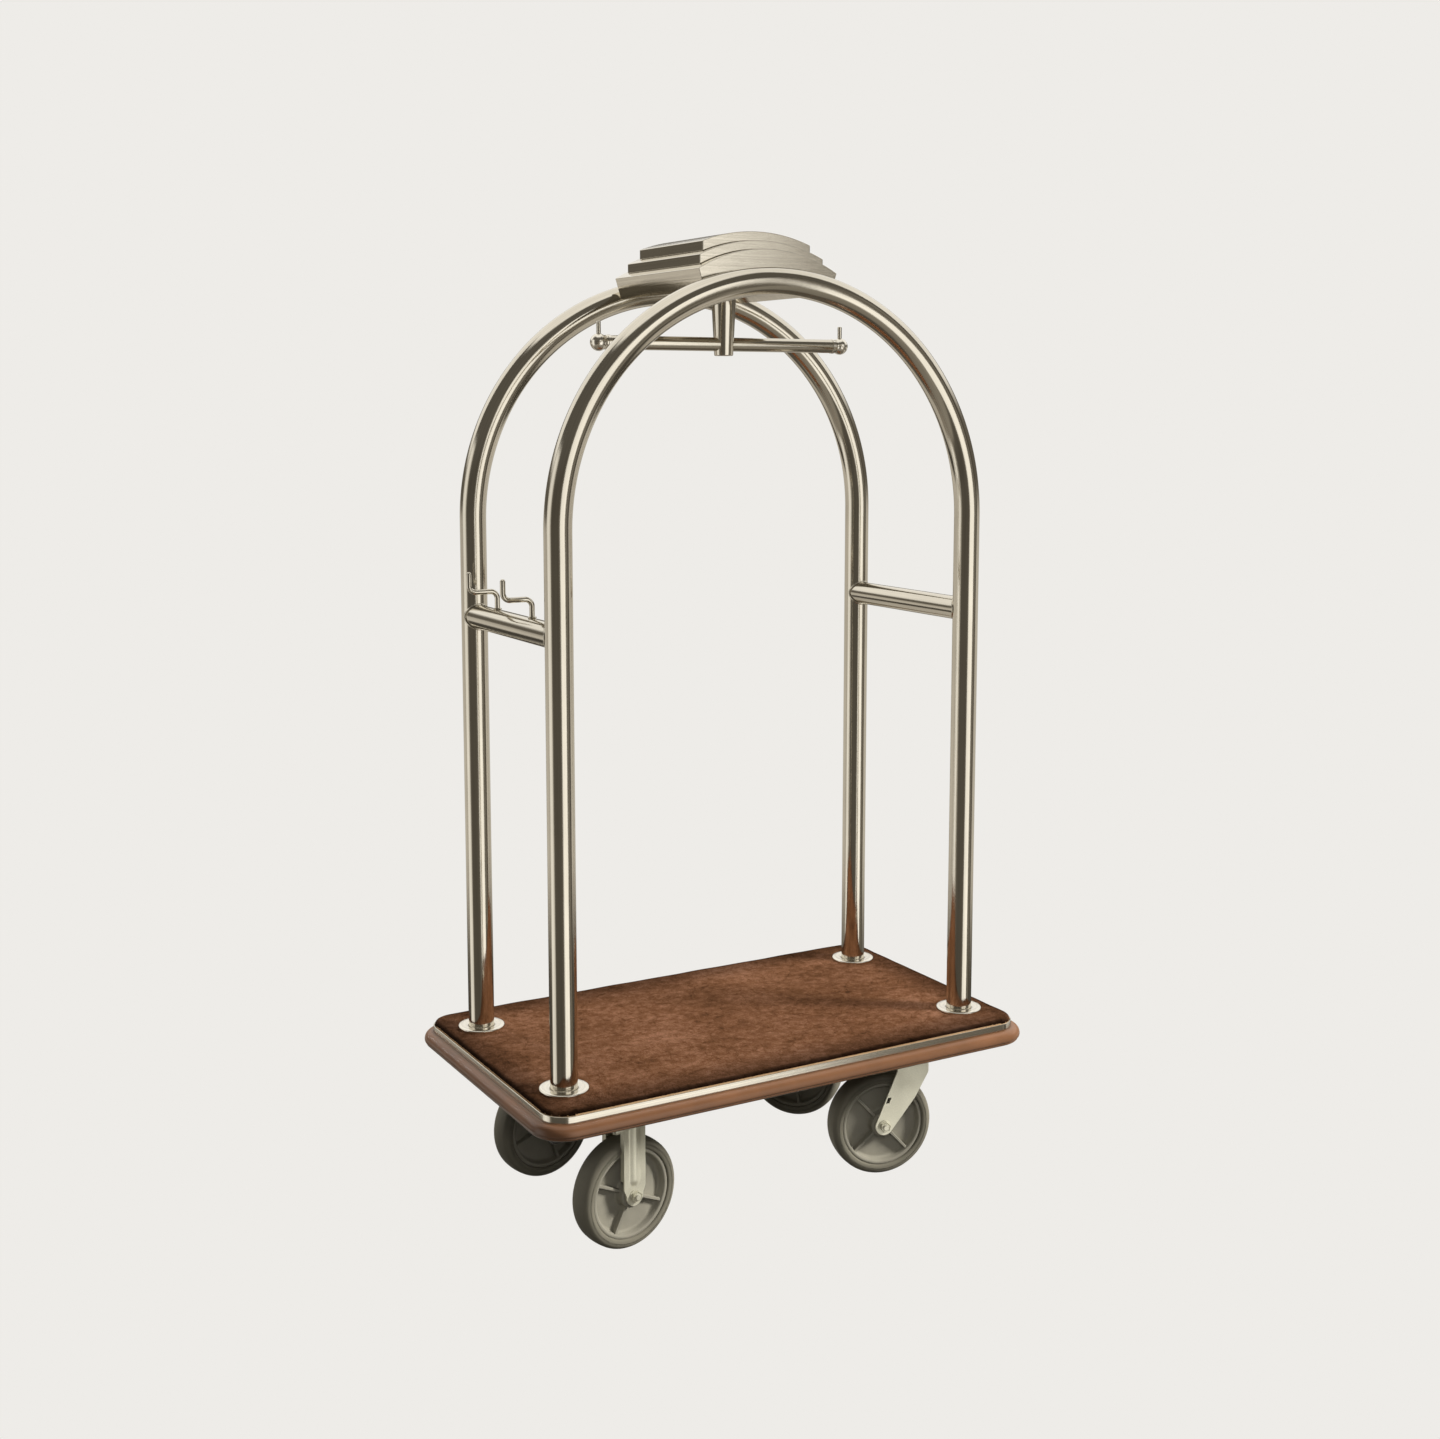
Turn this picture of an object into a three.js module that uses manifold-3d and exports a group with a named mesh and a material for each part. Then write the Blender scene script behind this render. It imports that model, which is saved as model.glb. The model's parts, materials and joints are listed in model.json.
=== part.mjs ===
// A hotel luggage cart: two bent tube arches on a carpeted deck, a stepped crown and a hanger bar
// above it, coat hooks on one end, two rigid casters and two swivel casters below.
// Millimetres. X runs along the cart, Y across it, +Z up. The origin is on the floor, under the
// middle of the deck. The rigid casters are at -X, and the front of the cart is at -Y.
import * as THREE from "three";
import { mergeVertices } from "three/addons/utils/BufferGeometryUtils.js";
import Module from "manifold-3d";

const wasm = await Module();
wasm.setup();

const GAP = 0.3; // between pieces that touch
const RUNNING_GAP = 0.6; // between a pin and the hole it turns in

// Deck
const DECK_HALF_LENGTH = 495;
const DECK_HALF_WIDTH = 285;
const DECK_CORNER = 45;
const DECK_TOP = 315;
const CARPET_THICKNESS = 5.7;
const BOARD_THICKNESS = 18;
const TRIM_THICKNESS = 2.2;
const TRIM_BOTTOM = 266;
const TRIM_TOP = 307;
const BUMPER_MIDDLE = 281;
const BUMPER_RADIUS = 14;
const BUMPER_PROUD = 17;

// Steel frame below the deck
const FRAME_HALF_LENGTH = 470;
const FRAME_HALF_WIDTH = 235;
const RAIL_WIDTH = 25;
const RAIL_WALL = 2;
const CHANNEL_WIDTH = 130;
const CHANNEL_WALL = 4;

// Arches, crossbars and post fittings
const POST_X = 425;
const POST_Y = 185;
const TUBE_RADIUS = 24.15;
const TUBE_WALL = 2;
const SPRING_HEIGHT = 1277; // where each post starts to bend into its half circle
const PLUG_LENGTH = 10;
const CROSSBAR_HEIGHT = 1101;
const CROSSBAR_RADIUS = 22.2;
const CROSSBAR_WALL = 1.6;
const FLANGE_RADIUS = 44;
const FLANGE_PROUD = 4.5; // above the carpet, which is cut away round each flange
const POST_BOLT_RADIUS = 5.9;
const POST_BOLT_HEAD_RADIUS = 10.5;
const POST_BOLT_HEAD = 7.5;
const POST_BOLT_LENGTH = 34;

// Coat hooks on the left crossbar
const HOOK_ROD_RADIUS = 4.75;
const HOOK_SPACING = 152;
const HOOK_REACH = 54;
const HOOK_RUN_HEIGHT = 1156;
const HOOK_TIP_HEIGHT = 1193;
const HOOK_BEND = 12;

// Crown: three curved tiers about one centre line
const CROWN_CENTRE = 1476;
const CROWN_RADII = [244.5, 284, 300, 317]; // underside, then the top of each tier
const CROWN_HALF_LENGTHS = [142, 127, 111];
const CROWN_HALF_WIDTHS = [POST_Y - TUBE_RADIUS - GAP, 138, 120];
const CROWN_WALL = 3;
const CROWN_UNDERCUT = 12; // how far the lowest tier's ends lean in towards their lower edges

// Hanger
const HANGER_HEIGHT = 1598;
const HANGER_BAR_RADIUS = 12.7;
const HANGER_BAR_WALL = 2;
const HANGER_BAR_HALF_LENGTH = 244;
const HANGER_POST_BOTTOM = 1577;
const HANGER_POST_SHOULDER = 1679;
const HANGER_POST_RADII = [17.5, 22.5];
const HANGER_POST_WALL = 3;
const STUD_RADIUS = 8;
const STUD_LENGTH = 16;
const BALL_RADIUS = 15.5;
const BALL_X = 256;
const PIN_RADIUS = 4;
const PIN_TOP = 1635;

// Casters
const WHEEL_RADIUS = 101.6;
const RIGID_X = -306;
const RIGID_Y = 176;
const RIGID_TURN = 10; // degrees, about the upright
const SWIVEL_X = 315;
const SWIVEL_Y = 152;
const TRAIL = 48;
const CASTER_HEIGHT = 241;
const PLATE_LENGTH = 114;
const PLATE_WIDTH = 102;
const PLATE_THICKNESS = 4.8;
const LEG_THICKNESS = 4;
const LEG_INNER = 28.6; // from the middle of the wheel to the inner face of a leg
const RIGID_LEG_WIDTH = 47;
const RIB_WIDTH = 23;
const RIB_PROUD = 5;
const LEG_TAB_RADIUS = 18;
const FORK_CROWN_TOP = 228;
const RACE_RADIUS = 29;
const KINGPIN_RADIUS = 7.5;
const KINGPIN_HEAD_RADIUS = 13;
const KINGPIN_HEAD = 6;
const AXLE_RADIUS = 6;
const AXLE_HEX_RADIUS = 10.4;
const AXLE_HEX = 7;
const AXLE_END_PROUD = 4;

// Wheels
const TYRE_HALF_WIDTH = 24.5;
const TYRE_BORE = 81.7;
const CORE_RADIUS = 81;
const CORE_HALF_WIDTH = 21;
const RECESS_RADIUS = 74.5;
const DISC_HALF_THICKNESS = 7;
const HUB_RADIUS = 24;
const HUB_HALF_WIDTH = 27;
const SPOKE_HALF_THICKNESS = 3;
const SPOKE_HALF_WIDTH = 18;
const BEARING_RADIUS = 10;

// How finely round shapes are cut
const TUBE_SIDES = 12;
const BEND_STEPS = 16;
const SMALL_SIDES = 8;
const WHEEL_SIDES = 20;
const CORE_SIDES = 16;
const CORNER_STEPS = 5;
const NOSE_STEPS = 6;
const ROD_SIDES = 8;
const ROD_STEPS = 14;
const CROWN_STEPS = 12;

const BOARD_TOP = DECK_TOP - CARPET_THICKNESS - GAP;
const BOARD_BOTTOM = BOARD_TOP - BOARD_THICKNESS;
const RAIL_TOP = BOARD_BOTTOM - GAP;
const RAIL_BOTTOM = CASTER_HEIGHT + GAP;

const finishes = {
  steel: { color: 0x9b9382, roughness: 0.32, metalness: 1 },
  zinc: { color: 0xc8c6b0, roughness: 0.42, metalness: 0.8 },
  brightSteel: { color: 0xd8d2c0, roughness: 0.25, metalness: 1 },
  frameSteel: { color: 0x2b2a28, roughness: 0.6, metalness: 0.3 },
  carpet: { color: 0x5d3c25, roughness: 0.95, metalness: 0 },
  plywood: { color: 0xb08a5a, roughness: 0.8, metalness: 0 },
  bumper: { color: 0x6b4228, roughness: 0.35, metalness: 0 },
  tyre: { color: 0x77725f, roughness: 0.7, metalness: 0 },
  core: { color: 0x7d7868, roughness: 0.55, metalness: 0 },
};

const degrees = THREE.MathUtils.degToRad;

// ---- Solids -------------------------------------------------------------------------------

function solidOf(geometry) {
  const bare = geometry.clone();
  bare.deleteAttribute("normal");
  bare.deleteAttribute("uv");
  const merged = mergeVertices(bare, 1e-3);
  const mesh = new wasm.Mesh({
    numProp: 3,
    vertProperties: merged.attributes.position.array,
    triVerts: new Uint32Array(merged.index.array),
  });
  return new wasm.Manifold(mesh);
}

function geometryOf(solid) {
  const mesh = solid.getMesh();
  const geometry = new THREE.BufferGeometry();
  geometry.setAttribute("position", new THREE.BufferAttribute(mesh.vertProperties, 3));
  geometry.setIndex(new THREE.BufferAttribute(mesh.triVerts, 1));
  geometry.computeVertexNormals();
  return geometry;
}

function join(first, ...others) {
  return geometryOf(others.reduce((sum, next) => sum.add(solidOf(next)), solidOf(first)));
}

function cut(first, ...others) {
  return geometryOf(others.reduce((rest, next) => rest.subtract(solidOf(next)), solidOf(first)));
}

// ---- Outlines and primitive shapes --------------------------------------------------------

function circlePoints(radius, sides, x = 0, y = 0) {
  return Array.from({ length: sides }, (_, i) => {
    const angle = (2 * Math.PI * i) / sides;
    return new THREE.Vector2(x + radius * Math.cos(angle), y + radius * Math.sin(angle));
  });
}

// A polygon whose sides, not its corners, are at the radius, so that a round bar passes through.
function holePoints(radius, sides, x = 0, y = 0) {
  return circlePoints(radius / Math.cos(Math.PI / sides), sides, x, y);
}

function ringShape(radius, wall, sides) {
  const shape = new THREE.Shape(circlePoints(radius, sides));
  shape.holes.push(new THREE.Path(circlePoints(radius - wall, sides).reverse()));
  return shape;
}

function rectangleShape(left, right, bottom, top) {
  return new THREE.Shape([
    new THREE.Vector2(left, bottom),
    new THREE.Vector2(right, bottom),
    new THREE.Vector2(right, top),
    new THREE.Vector2(left, top),
  ]);
}

function prism(shape, depth) {
  return new THREE.ExtrudeGeometry(shape, { depth, bevelEnabled: false });
}

// A prism between two heights.
function upright(shape, bottom, top) {
  return prism(shape, top - bottom).translate(0, 0, bottom);
}

// A prism centred on y = middle: the outline's x stays x, and its y becomes height.
function crosswise(shape, depth, middle = 0) {
  return prism(shape, depth).rotateX(Math.PI / 2).translate(0, middle + depth / 2, 0);
}

// A prism centred on x = 0: the outline's x becomes y, and its y becomes height.
function lengthwise(shape, depth) {
  return crosswise(shape, depth).rotateZ(Math.PI / 2);
}

function box(left, right, near, far, bottom, top) {
  return upright(rectangleShape(left, right, near, far), bottom, top);
}

// A profile of [radius, distance along the axis] turned about the Y axis, with faces outwards.
function turned(profile, sides, start = 0) {
  const area = profile.reduce((sum, [r, y], i) => {
    const [nextR, nextY] = profile[(i + 1) % profile.length];
    return sum + r * nextY - nextR * y;
  }, 0);
  const ordered = area > 0 ? [...profile] : [...profile].reverse();
  const points = [...ordered, ordered[0]].map(([r, y]) => new THREE.Vector2(r, y));
  return new THREE.LatheGeometry(points, sides, start);
}

// The same, about the Z axis.
function turnedUpright(profile, sides) {
  return turned(profile, sides).rotateX(Math.PI / 2);
}

// The outline of the deck, pushed out by each point of a section of [outwards, height].
function edgeRing(section) {
  const steps = CORNER_STEPS + 1;
  const corners = [
    [1, 1],
    [-1, 1],
    [-1, -1],
    [1, -1],
  ];
  const outline = corners.flatMap(([signX, signY], quarter) =>
    Array.from({ length: steps }, (_, i) => {
      const angle = (Math.PI / 2) * (quarter + i / CORNER_STEPS);
      return {
        centreX: signX * (DECK_HALF_LENGTH - DECK_CORNER),
        centreY: signY * (DECK_HALF_WIDTH - DECK_CORNER),
        cos: Math.cos(angle),
        sin: Math.sin(angle),
      };
    }),
  );
  const positions = outline.flatMap(({ centreX, centreY, cos, sin }) =>
    section.flatMap(([out, height]) => {
      const reach = DECK_CORNER + out;
      return [centreX + reach * cos, centreY + reach * sin, height];
    }),
  );
  const index = outline.flatMap((_, i) =>
    section.flatMap((__, j) => {
      const nextI = (i + 1) % outline.length;
      const nextJ = (j + 1) % section.length;
      const [a, b] = [i * section.length + j, i * section.length + nextJ];
      const [c, d] = [nextI * section.length + j, nextI * section.length + nextJ];
      return [a, c, b, b, c, d];
    }),
  );
  const geometry = new THREE.BufferGeometry();
  geometry.setAttribute("position", new THREE.Float32BufferAttribute(positions, 3));
  geometry.setIndex(index);
  geometry.computeVertexNormals();
  return geometry;
}

// ---- Scene graph --------------------------------------------------------------------------

const cart = new THREE.Group();

function place(name, geometry, finish, parent = cart) {
  const mesh = new THREE.Mesh(geometry, new THREE.MeshStandardMaterial(finishes[finish]));
  mesh.name = name;
  parent.add(mesh);
  return mesh;
}

const posts = [
  { name: "front_left", x: -POST_X, y: -POST_Y },
  { name: "front_right", x: POST_X, y: -POST_Y },
  { name: "rear_left", x: -POST_X, y: POST_Y },
  { name: "rear_right", x: POST_X, y: POST_Y },
];

// ---- Deck ---------------------------------------------------------------------------------

function deckShape(inset, holeRadius, holeSides) {
  const x = DECK_HALF_LENGTH - inset;
  const y = DECK_HALF_WIDTH - inset;
  const r = DECK_CORNER - inset;
  const corners = [
    [x - r, y - r],
    [r - x, y - r],
    [r - x, r - y],
    [x - r, r - y],
  ];
  const outline = corners.flatMap(([centreX, centreY], quarter) =>
    Array.from({ length: CORNER_STEPS + 1 }, (_, i) => {
      const angle = (Math.PI / 2) * (quarter + i / CORNER_STEPS);
      return new THREE.Vector2(centreX + r * Math.cos(angle), centreY + r * Math.sin(angle));
    }),
  );
  const shape = new THREE.Shape(outline);
  shape.holes = posts.map(
    (post) => new THREE.Path(holePoints(holeRadius, holeSides, post.x, post.y).reverse()),
  );
  return shape;
}

function addDeck() {
  const boardHole = POST_BOLT_RADIUS + RUNNING_GAP;
  const board = upright(deckShape(GAP, boardHole, SMALL_SIDES), BOARD_BOTTOM, BOARD_TOP);
  place("deck_board", board, "plywood");
  const carpetHole = FLANGE_RADIUS + RUNNING_GAP;
  const pile = deckShape(GAP, carpetHole, 2 * SMALL_SIDES);
  const carpet = upright(pile, DECK_TOP - CARPET_THICKNESS, DECK_TOP);
  place("deck_carpet", carpet, "carpet");
  const inner = GAP;
  const outer = GAP + TRIM_THICKNESS;
  const trim = [
    [inner, TRIM_BOTTOM],
    [outer, TRIM_BOTTOM],
    [outer, TRIM_TOP],
    [inner, TRIM_TOP],
  ];
  place("deck_trim_band", edgeRing(trim), "steel");
  const back = outer + GAP;
  const noseCentre = back + BUMPER_PROUD - BUMPER_RADIUS;
  const nose = Array.from({ length: NOSE_STEPS + 1 }, (_, i) => {
    const angle = Math.PI * (i / NOSE_STEPS - 0.5);
    const out = noseCentre + BUMPER_RADIUS * Math.cos(angle);
    return [out, BUMPER_MIDDLE + BUMPER_RADIUS * Math.sin(angle)];
  });
  const bumper = [
    [back, BUMPER_MIDDLE - BUMPER_RADIUS],
    ...nose,
    [back, BUMPER_MIDDLE + BUMPER_RADIUS],
  ];
  place("deck_bumper", edgeRing(bumper), "bumper");
}

// ---- Frame below the deck -----------------------------------------------------------------

function addFrame() {
  const rail = rectangleShape(0, RAIL_WIDTH, RAIL_BOTTOM, RAIL_TOP);
  const bore = rectangleShape(
    RAIL_WALL,
    RAIL_WIDTH - RAIL_WALL,
    RAIL_BOTTOM + RAIL_WALL,
    RAIL_TOP - RAIL_WALL,
  );
  rail.holes.push(new THREE.Path(bore.getPoints().reverse()));
  const inside = FRAME_HALF_WIDTH - RAIL_WIDTH - GAP;
  const sideRail = lengthwise(rail, 2 * FRAME_HALF_LENGTH);
  const endRail = crosswise(rail, 2 * inside);
  const middleOfSide = FRAME_HALF_WIDTH - RAIL_WIDTH;
  const middleOfEnd = FRAME_HALF_LENGTH - RAIL_WIDTH;
  place("side_rail_front", sideRail.clone(), "frameSteel").position.y = -FRAME_HALF_WIDTH;
  place("side_rail_rear", sideRail, "frameSteel").position.y = middleOfSide;
  place("end_rail_left", endRail.clone(), "frameSteel").position.x = -FRAME_HALF_LENGTH;
  place("end_rail_right", endRail, "frameSteel").position.x = middleOfEnd;

  const half = CHANNEL_WIDTH / 2;
  const channel = cut(
    crosswise(rectangleShape(-half, half, RAIL_BOTTOM, RAIL_TOP), 2 * inside),
    crosswise(
      rectangleShape(
        CHANNEL_WALL - half,
        half - CHANNEL_WALL,
        RAIL_BOTTOM + CHANNEL_WALL,
        RAIL_TOP + CHANNEL_WALL,
      ),
      2 * inside + CHANNEL_WALL,
    ),
  );
  place("caster_channel_left", channel.clone(), "frameSteel").position.x = RIGID_X;
  place("caster_channel_right", channel, "frameSteel").position.x = SWIVEL_X;
}

// ---- Arches, crossbars, flanges and hooks ---------------------------------------------------

// One leg up, half a circle and one leg down. Each leg is one step, and the rest are in the bend.
class ArchPath extends THREE.Curve {
  getPoint(t, target = new THREE.Vector3()) {
    const step = t * (BEND_STEPS + 2);
    if (step <= 1) {
      return target.set(-POST_X, 0, THREE.MathUtils.lerp(BOARD_TOP + GAP, SPRING_HEIGHT, step));
    }
    if (step >= BEND_STEPS + 1) {
      const down = step - BEND_STEPS - 1;
      return target.set(POST_X, 0, THREE.MathUtils.lerp(SPRING_HEIGHT, BOARD_TOP + GAP, down));
    }
    const angle = (Math.PI * (step - 1)) / BEND_STEPS;
    return target.set(-POST_X * Math.cos(angle), 0, SPRING_HEIGHT + POST_X * Math.sin(angle));
  }

  getTangent(t, target = new THREE.Vector3()) {
    const step = THREE.MathUtils.clamp(t * (BEND_STEPS + 2) - 1, 0, BEND_STEPS);
    const angle = (Math.PI * step) / BEND_STEPS;
    return target.set(Math.sin(angle), 0, Math.cos(angle));
  }

  getUtoTmapping(u) {
    return u;
  }
}

function archGeometry() {
  const tube = new THREE.ExtrudeGeometry(ringShape(TUBE_RADIUS, TUBE_WALL, TUBE_SIDES), {
    extrudePath: new ArchPath(),
    steps: BEND_STEPS + 2,
    bevelEnabled: false,
  });
  const plugShape = new THREE.Shape(circlePoints(TUBE_RADIUS - TUBE_WALL / 2, TUBE_SIDES));
  const boltHole = holePoints(POST_BOLT_RADIUS + RUNNING_GAP, SMALL_SIDES).reverse();
  plugShape.holes.push(new THREE.Path(boltHole));
  const foot = BOARD_TOP + GAP;
  const plug = upright(plugShape, foot, foot + PLUG_LENGTH);
  const leftPlug = plug.clone().translate(-POST_X, 0, 0);
  const rightPlug = plug.clone().translate(POST_X, 0, 0);
  return join(tube, leftPlug, rightPlug);
}

function crossbarGeometry() {
  const ring = ringShape(CROSSBAR_RADIUS, CROSSBAR_WALL, TUBE_SIDES);
  const bar = crosswise(ring, 2 * POST_Y);
  const saddle = new THREE.Shape(holePoints(TUBE_RADIUS + GAP, 2 * TUBE_SIDES));
  const post = upright(saddle, -2 * CROSSBAR_RADIUS, 2 * CROSSBAR_RADIUS);
  const nearPost = post.clone().translate(0, -POST_Y, 0);
  const farPost = post.clone().translate(0, POST_Y, 0);
  return cut(bar, nearPost, farPost);
}

// Up from the crossbar, out over the cart's end and up again to the tip.
function hookGeometry() {
  const foot = CROSSBAR_HEIGHT + CROSSBAR_RADIUS + GAP;
  const point = (x, z) => new THREE.Vector3(x, 0, z);
  const path = new THREE.CurvePath();
  path.add(new THREE.LineCurve3(point(0, foot), point(0, HOOK_RUN_HEIGHT - HOOK_BEND)));
  path.add(
    new THREE.QuadraticBezierCurve3(
      point(0, HOOK_RUN_HEIGHT - HOOK_BEND),
      point(0, HOOK_RUN_HEIGHT),
      point(-HOOK_BEND, HOOK_RUN_HEIGHT),
    ),
  );
  path.add(
    new THREE.LineCurve3(
      point(-HOOK_BEND, HOOK_RUN_HEIGHT),
      point(HOOK_BEND - HOOK_REACH, HOOK_RUN_HEIGHT),
    ),
  );
  path.add(
    new THREE.QuadraticBezierCurve3(
      point(HOOK_BEND - HOOK_REACH, HOOK_RUN_HEIGHT),
      point(-HOOK_REACH, HOOK_RUN_HEIGHT),
      point(-HOOK_REACH, HOOK_RUN_HEIGHT + HOOK_BEND),
    ),
  );
  path.add(
    new THREE.LineCurve3(
      point(-HOOK_REACH, HOOK_RUN_HEIGHT + HOOK_BEND),
      point(-HOOK_REACH, HOOK_TIP_HEIGHT),
    ),
  );
  return new THREE.ExtrudeGeometry(new THREE.Shape(circlePoints(HOOK_ROD_RADIUS, ROD_SIDES)), {
    extrudePath: path,
    steps: ROD_STEPS,
    bevelEnabled: false,
  });
}

function addArches() {
  const arch = archGeometry();
  place("front_arch", arch.clone(), "steel").position.y = -POST_Y;
  place("rear_arch", arch, "steel").position.y = POST_Y;

  const crossbar = crossbarGeometry();
  place("left_crossbar", crossbar.clone(), "steel").position.set(-POST_X, 0, CROSSBAR_HEIGHT);
  place("right_crossbar", crossbar, "steel").position.set(POST_X, 0, CROSSBAR_HEIGHT);

  const hook = hookGeometry();
  place("front_coat_hook", hook.clone(), "steel").position.set(-POST_X, -HOOK_SPACING / 2, 0);
  place("rear_coat_hook", hook, "steel").position.set(-POST_X, HOOK_SPACING / 2, 0);

  const bore = (TUBE_RADIUS + GAP) / Math.cos(Math.PI / (2 * SMALL_SIDES));
  const bottom = BOARD_TOP + GAP;
  const flange = turnedUpright(
    [
      [bore, bottom],
      [FLANGE_RADIUS, bottom],
      [FLANGE_RADIUS, DECK_TOP + FLANGE_PROUD / 3],
      [FLANGE_RADIUS - 4, DECK_TOP + FLANGE_PROUD],
      [bore, DECK_TOP + FLANGE_PROUD],
    ],
    2 * SMALL_SIDES,
  );
  const head = BOARD_BOTTOM - GAP;
  const bolt = join(
    upright(
      new THREE.Shape(circlePoints(POST_BOLT_HEAD_RADIUS, 6)),
      head - POST_BOLT_HEAD,
      head,
    ),
    upright(
      new THREE.Shape(circlePoints(POST_BOLT_RADIUS, SMALL_SIDES)),
      head - 1,
      head + POST_BOLT_LENGTH,
    ),
  );
  for (const post of posts) {
    place(`post_flange_${post.name}`, flange.clone(), "brightSteel").position.set(post.x, post.y, 0);
    place(`post_bolt_${post.name}`, bolt.clone(), "zinc").position.set(post.x, post.y, 0);
  }
}

// ---- Crown and hanger -----------------------------------------------------------------------

// The space between two radii about the crown's centre line, out to a half length and half width.
function crownSlab(inner, outer, halfLength, halfWidth, undercut = 0) {
  const arc = (radius) => {
    const lean = (undercut * (outer - radius)) / (outer - inner);
    const end = Math.asin((halfLength - lean) / radius);
    return Array.from({ length: CROWN_STEPS + 1 }, (_, i) => {
      const angle = end * ((2 * i) / CROWN_STEPS - 1);
      return new THREE.Vector2(radius * Math.sin(angle), CROWN_CENTRE + radius * Math.cos(angle));
    });
  };
  const outline = [...arc(inner), ...arc(outer).reverse()];
  return crosswise(new THREE.Shape(outline), 2 * halfWidth);
}

// The lowest tier is a closed box with a hole for the hanger's stud. The others are open below.
function crownTier(level) {
  const inner = CROWN_RADII[level] + (level === 0 ? 0 : GAP);
  const outer = CROWN_RADII[level + 1];
  const halfLength = CROWN_HALF_LENGTHS[level];
  const halfWidth = CROWN_HALF_WIDTHS[level];
  const undercut = level === 0 ? CROWN_UNDERCUT : 0;
  const floor = level === 0 ? inner + CROWN_WALL : inner - CROWN_WALL;
  const hollow = crownSlab(
    floor,
    outer - CROWN_WALL,
    halfLength - CROWN_WALL,
    halfWidth - CROWN_WALL,
    undercut,
  );
  const shell = crownSlab(inner, outer, halfLength, halfWidth, undercut);
  if (level > 0) return cut(shell, hollow);
  const studHole = upright(
    new THREE.Shape(holePoints(STUD_RADIUS + GAP, SMALL_SIDES)),
    CROWN_CENTRE + inner - CROWN_WALL,
    CROWN_CENTRE + floor + CROWN_WALL,
  );
  return cut(shell, hollow, studHole);
}

function hangerPostGeometry() {
  const [low, high] = HANGER_POST_RADII;
  const top = CROWN_CENTRE + Math.sqrt(CROWN_RADII[0] ** 2 - high ** 2) - 2 * GAP;
  const outside = turnedUpright(
    [
      [0, HANGER_POST_BOTTOM],
      [low, HANGER_POST_BOTTOM],
      [high, HANGER_POST_SHOULDER],
      [high, top],
      [STUD_RADIUS, top],
      [STUD_RADIUS, top + STUD_LENGTH],
      [0, top + STUD_LENGTH],
    ],
    2 * SMALL_SIDES,
  );
  const inside = turnedUpright(
    [
      [0, HANGER_POST_BOTTOM + HANGER_POST_WALL],
      [low - HANGER_POST_WALL, HANGER_POST_BOTTOM + HANGER_POST_WALL],
      [high - HANGER_POST_WALL, HANGER_POST_SHOULDER],
      [high - HANGER_POST_WALL, top - HANGER_POST_WALL],
      [0, top - HANGER_POST_WALL],
    ],
    2 * SMALL_SIDES,
  );
  const barHole = new THREE.Shape(holePoints(HANGER_BAR_RADIUS + GAP, 2 * SMALL_SIDES));
  const passage = lengthwise(barHole, 4 * high).translate(0, 0, HANGER_HEIGHT);
  return cut(outside, inside, passage);
}

// A ball with a plug that enters the bar's end and a pin that stands on top.
function finialGeometry(side) {
  const ball = new THREE.SphereGeometry(BALL_RADIUS, TUBE_SIDES, ROD_SIDES);
  const plugRadius = HANGER_BAR_RADIUS - HANGER_BAR_WALL - 2 * GAP;
  const plugLength = 2 * BALL_RADIUS;
  const plug = lengthwise(new THREE.Shape(circlePoints(plugRadius, SMALL_SIDES)), plugLength);
  plug.translate((-side * plugLength) / 2, 0, 0);
  const pinShape = new THREE.Shape(circlePoints(PIN_RADIUS, ROD_SIDES));
  return join(ball, plug, upright(pinShape, 0, PIN_TOP - HANGER_HEIGHT));
}

function addCrownAndHanger() {
  place("crown_lower_tier", crownTier(0), "steel");
  place("crown_middle_tier", crownTier(1), "steel");
  place("crown_upper_tier", crownTier(2), "steel");
  place("hanger_post", hangerPostGeometry(), "steel");
  const ring = ringShape(HANGER_BAR_RADIUS, HANGER_BAR_WALL, TUBE_SIDES);
  const bar = place("hanger_bar", lengthwise(ring, 2 * HANGER_BAR_HALF_LENGTH), "steel");
  bar.position.z = HANGER_HEIGHT;
  const left = place("hanger_finial_left", finialGeometry(-1), "brightSteel");
  left.position.set(-BALL_X, 0, HANGER_HEIGHT);
  const right = place("hanger_finial_right", finialGeometry(1), "brightSteel");
  right.position.set(BALL_X, 0, HANGER_HEIGHT);
}

// ---- Wheels ---------------------------------------------------------------------------------

// The tyre's sides are at the wheel's radius, with one of them flat on the floor.
function tyreGeometry() {
  const cornerFactor = 1 / Math.cos(Math.PI / WHEEL_SIDES);
  const reach = WHEEL_RADIUS * cornerFactor;
  const half = TYRE_HALF_WIDTH;
  const side = [
    [TYRE_BORE * cornerFactor, half - 2],
    [TYRE_BORE + 5, half],
    [WHEEL_RADIUS - 13, half],
    [WHEEL_RADIUS - 3.5, half - 4.5],
    [reach, half - 13],
  ];
  const otherSide = side.map(([r, y]) => [r, -y]).reverse();
  return turned([...side, ...otherSide], WHEEL_SIDES, Math.PI / WHEEL_SIDES);
}

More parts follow.
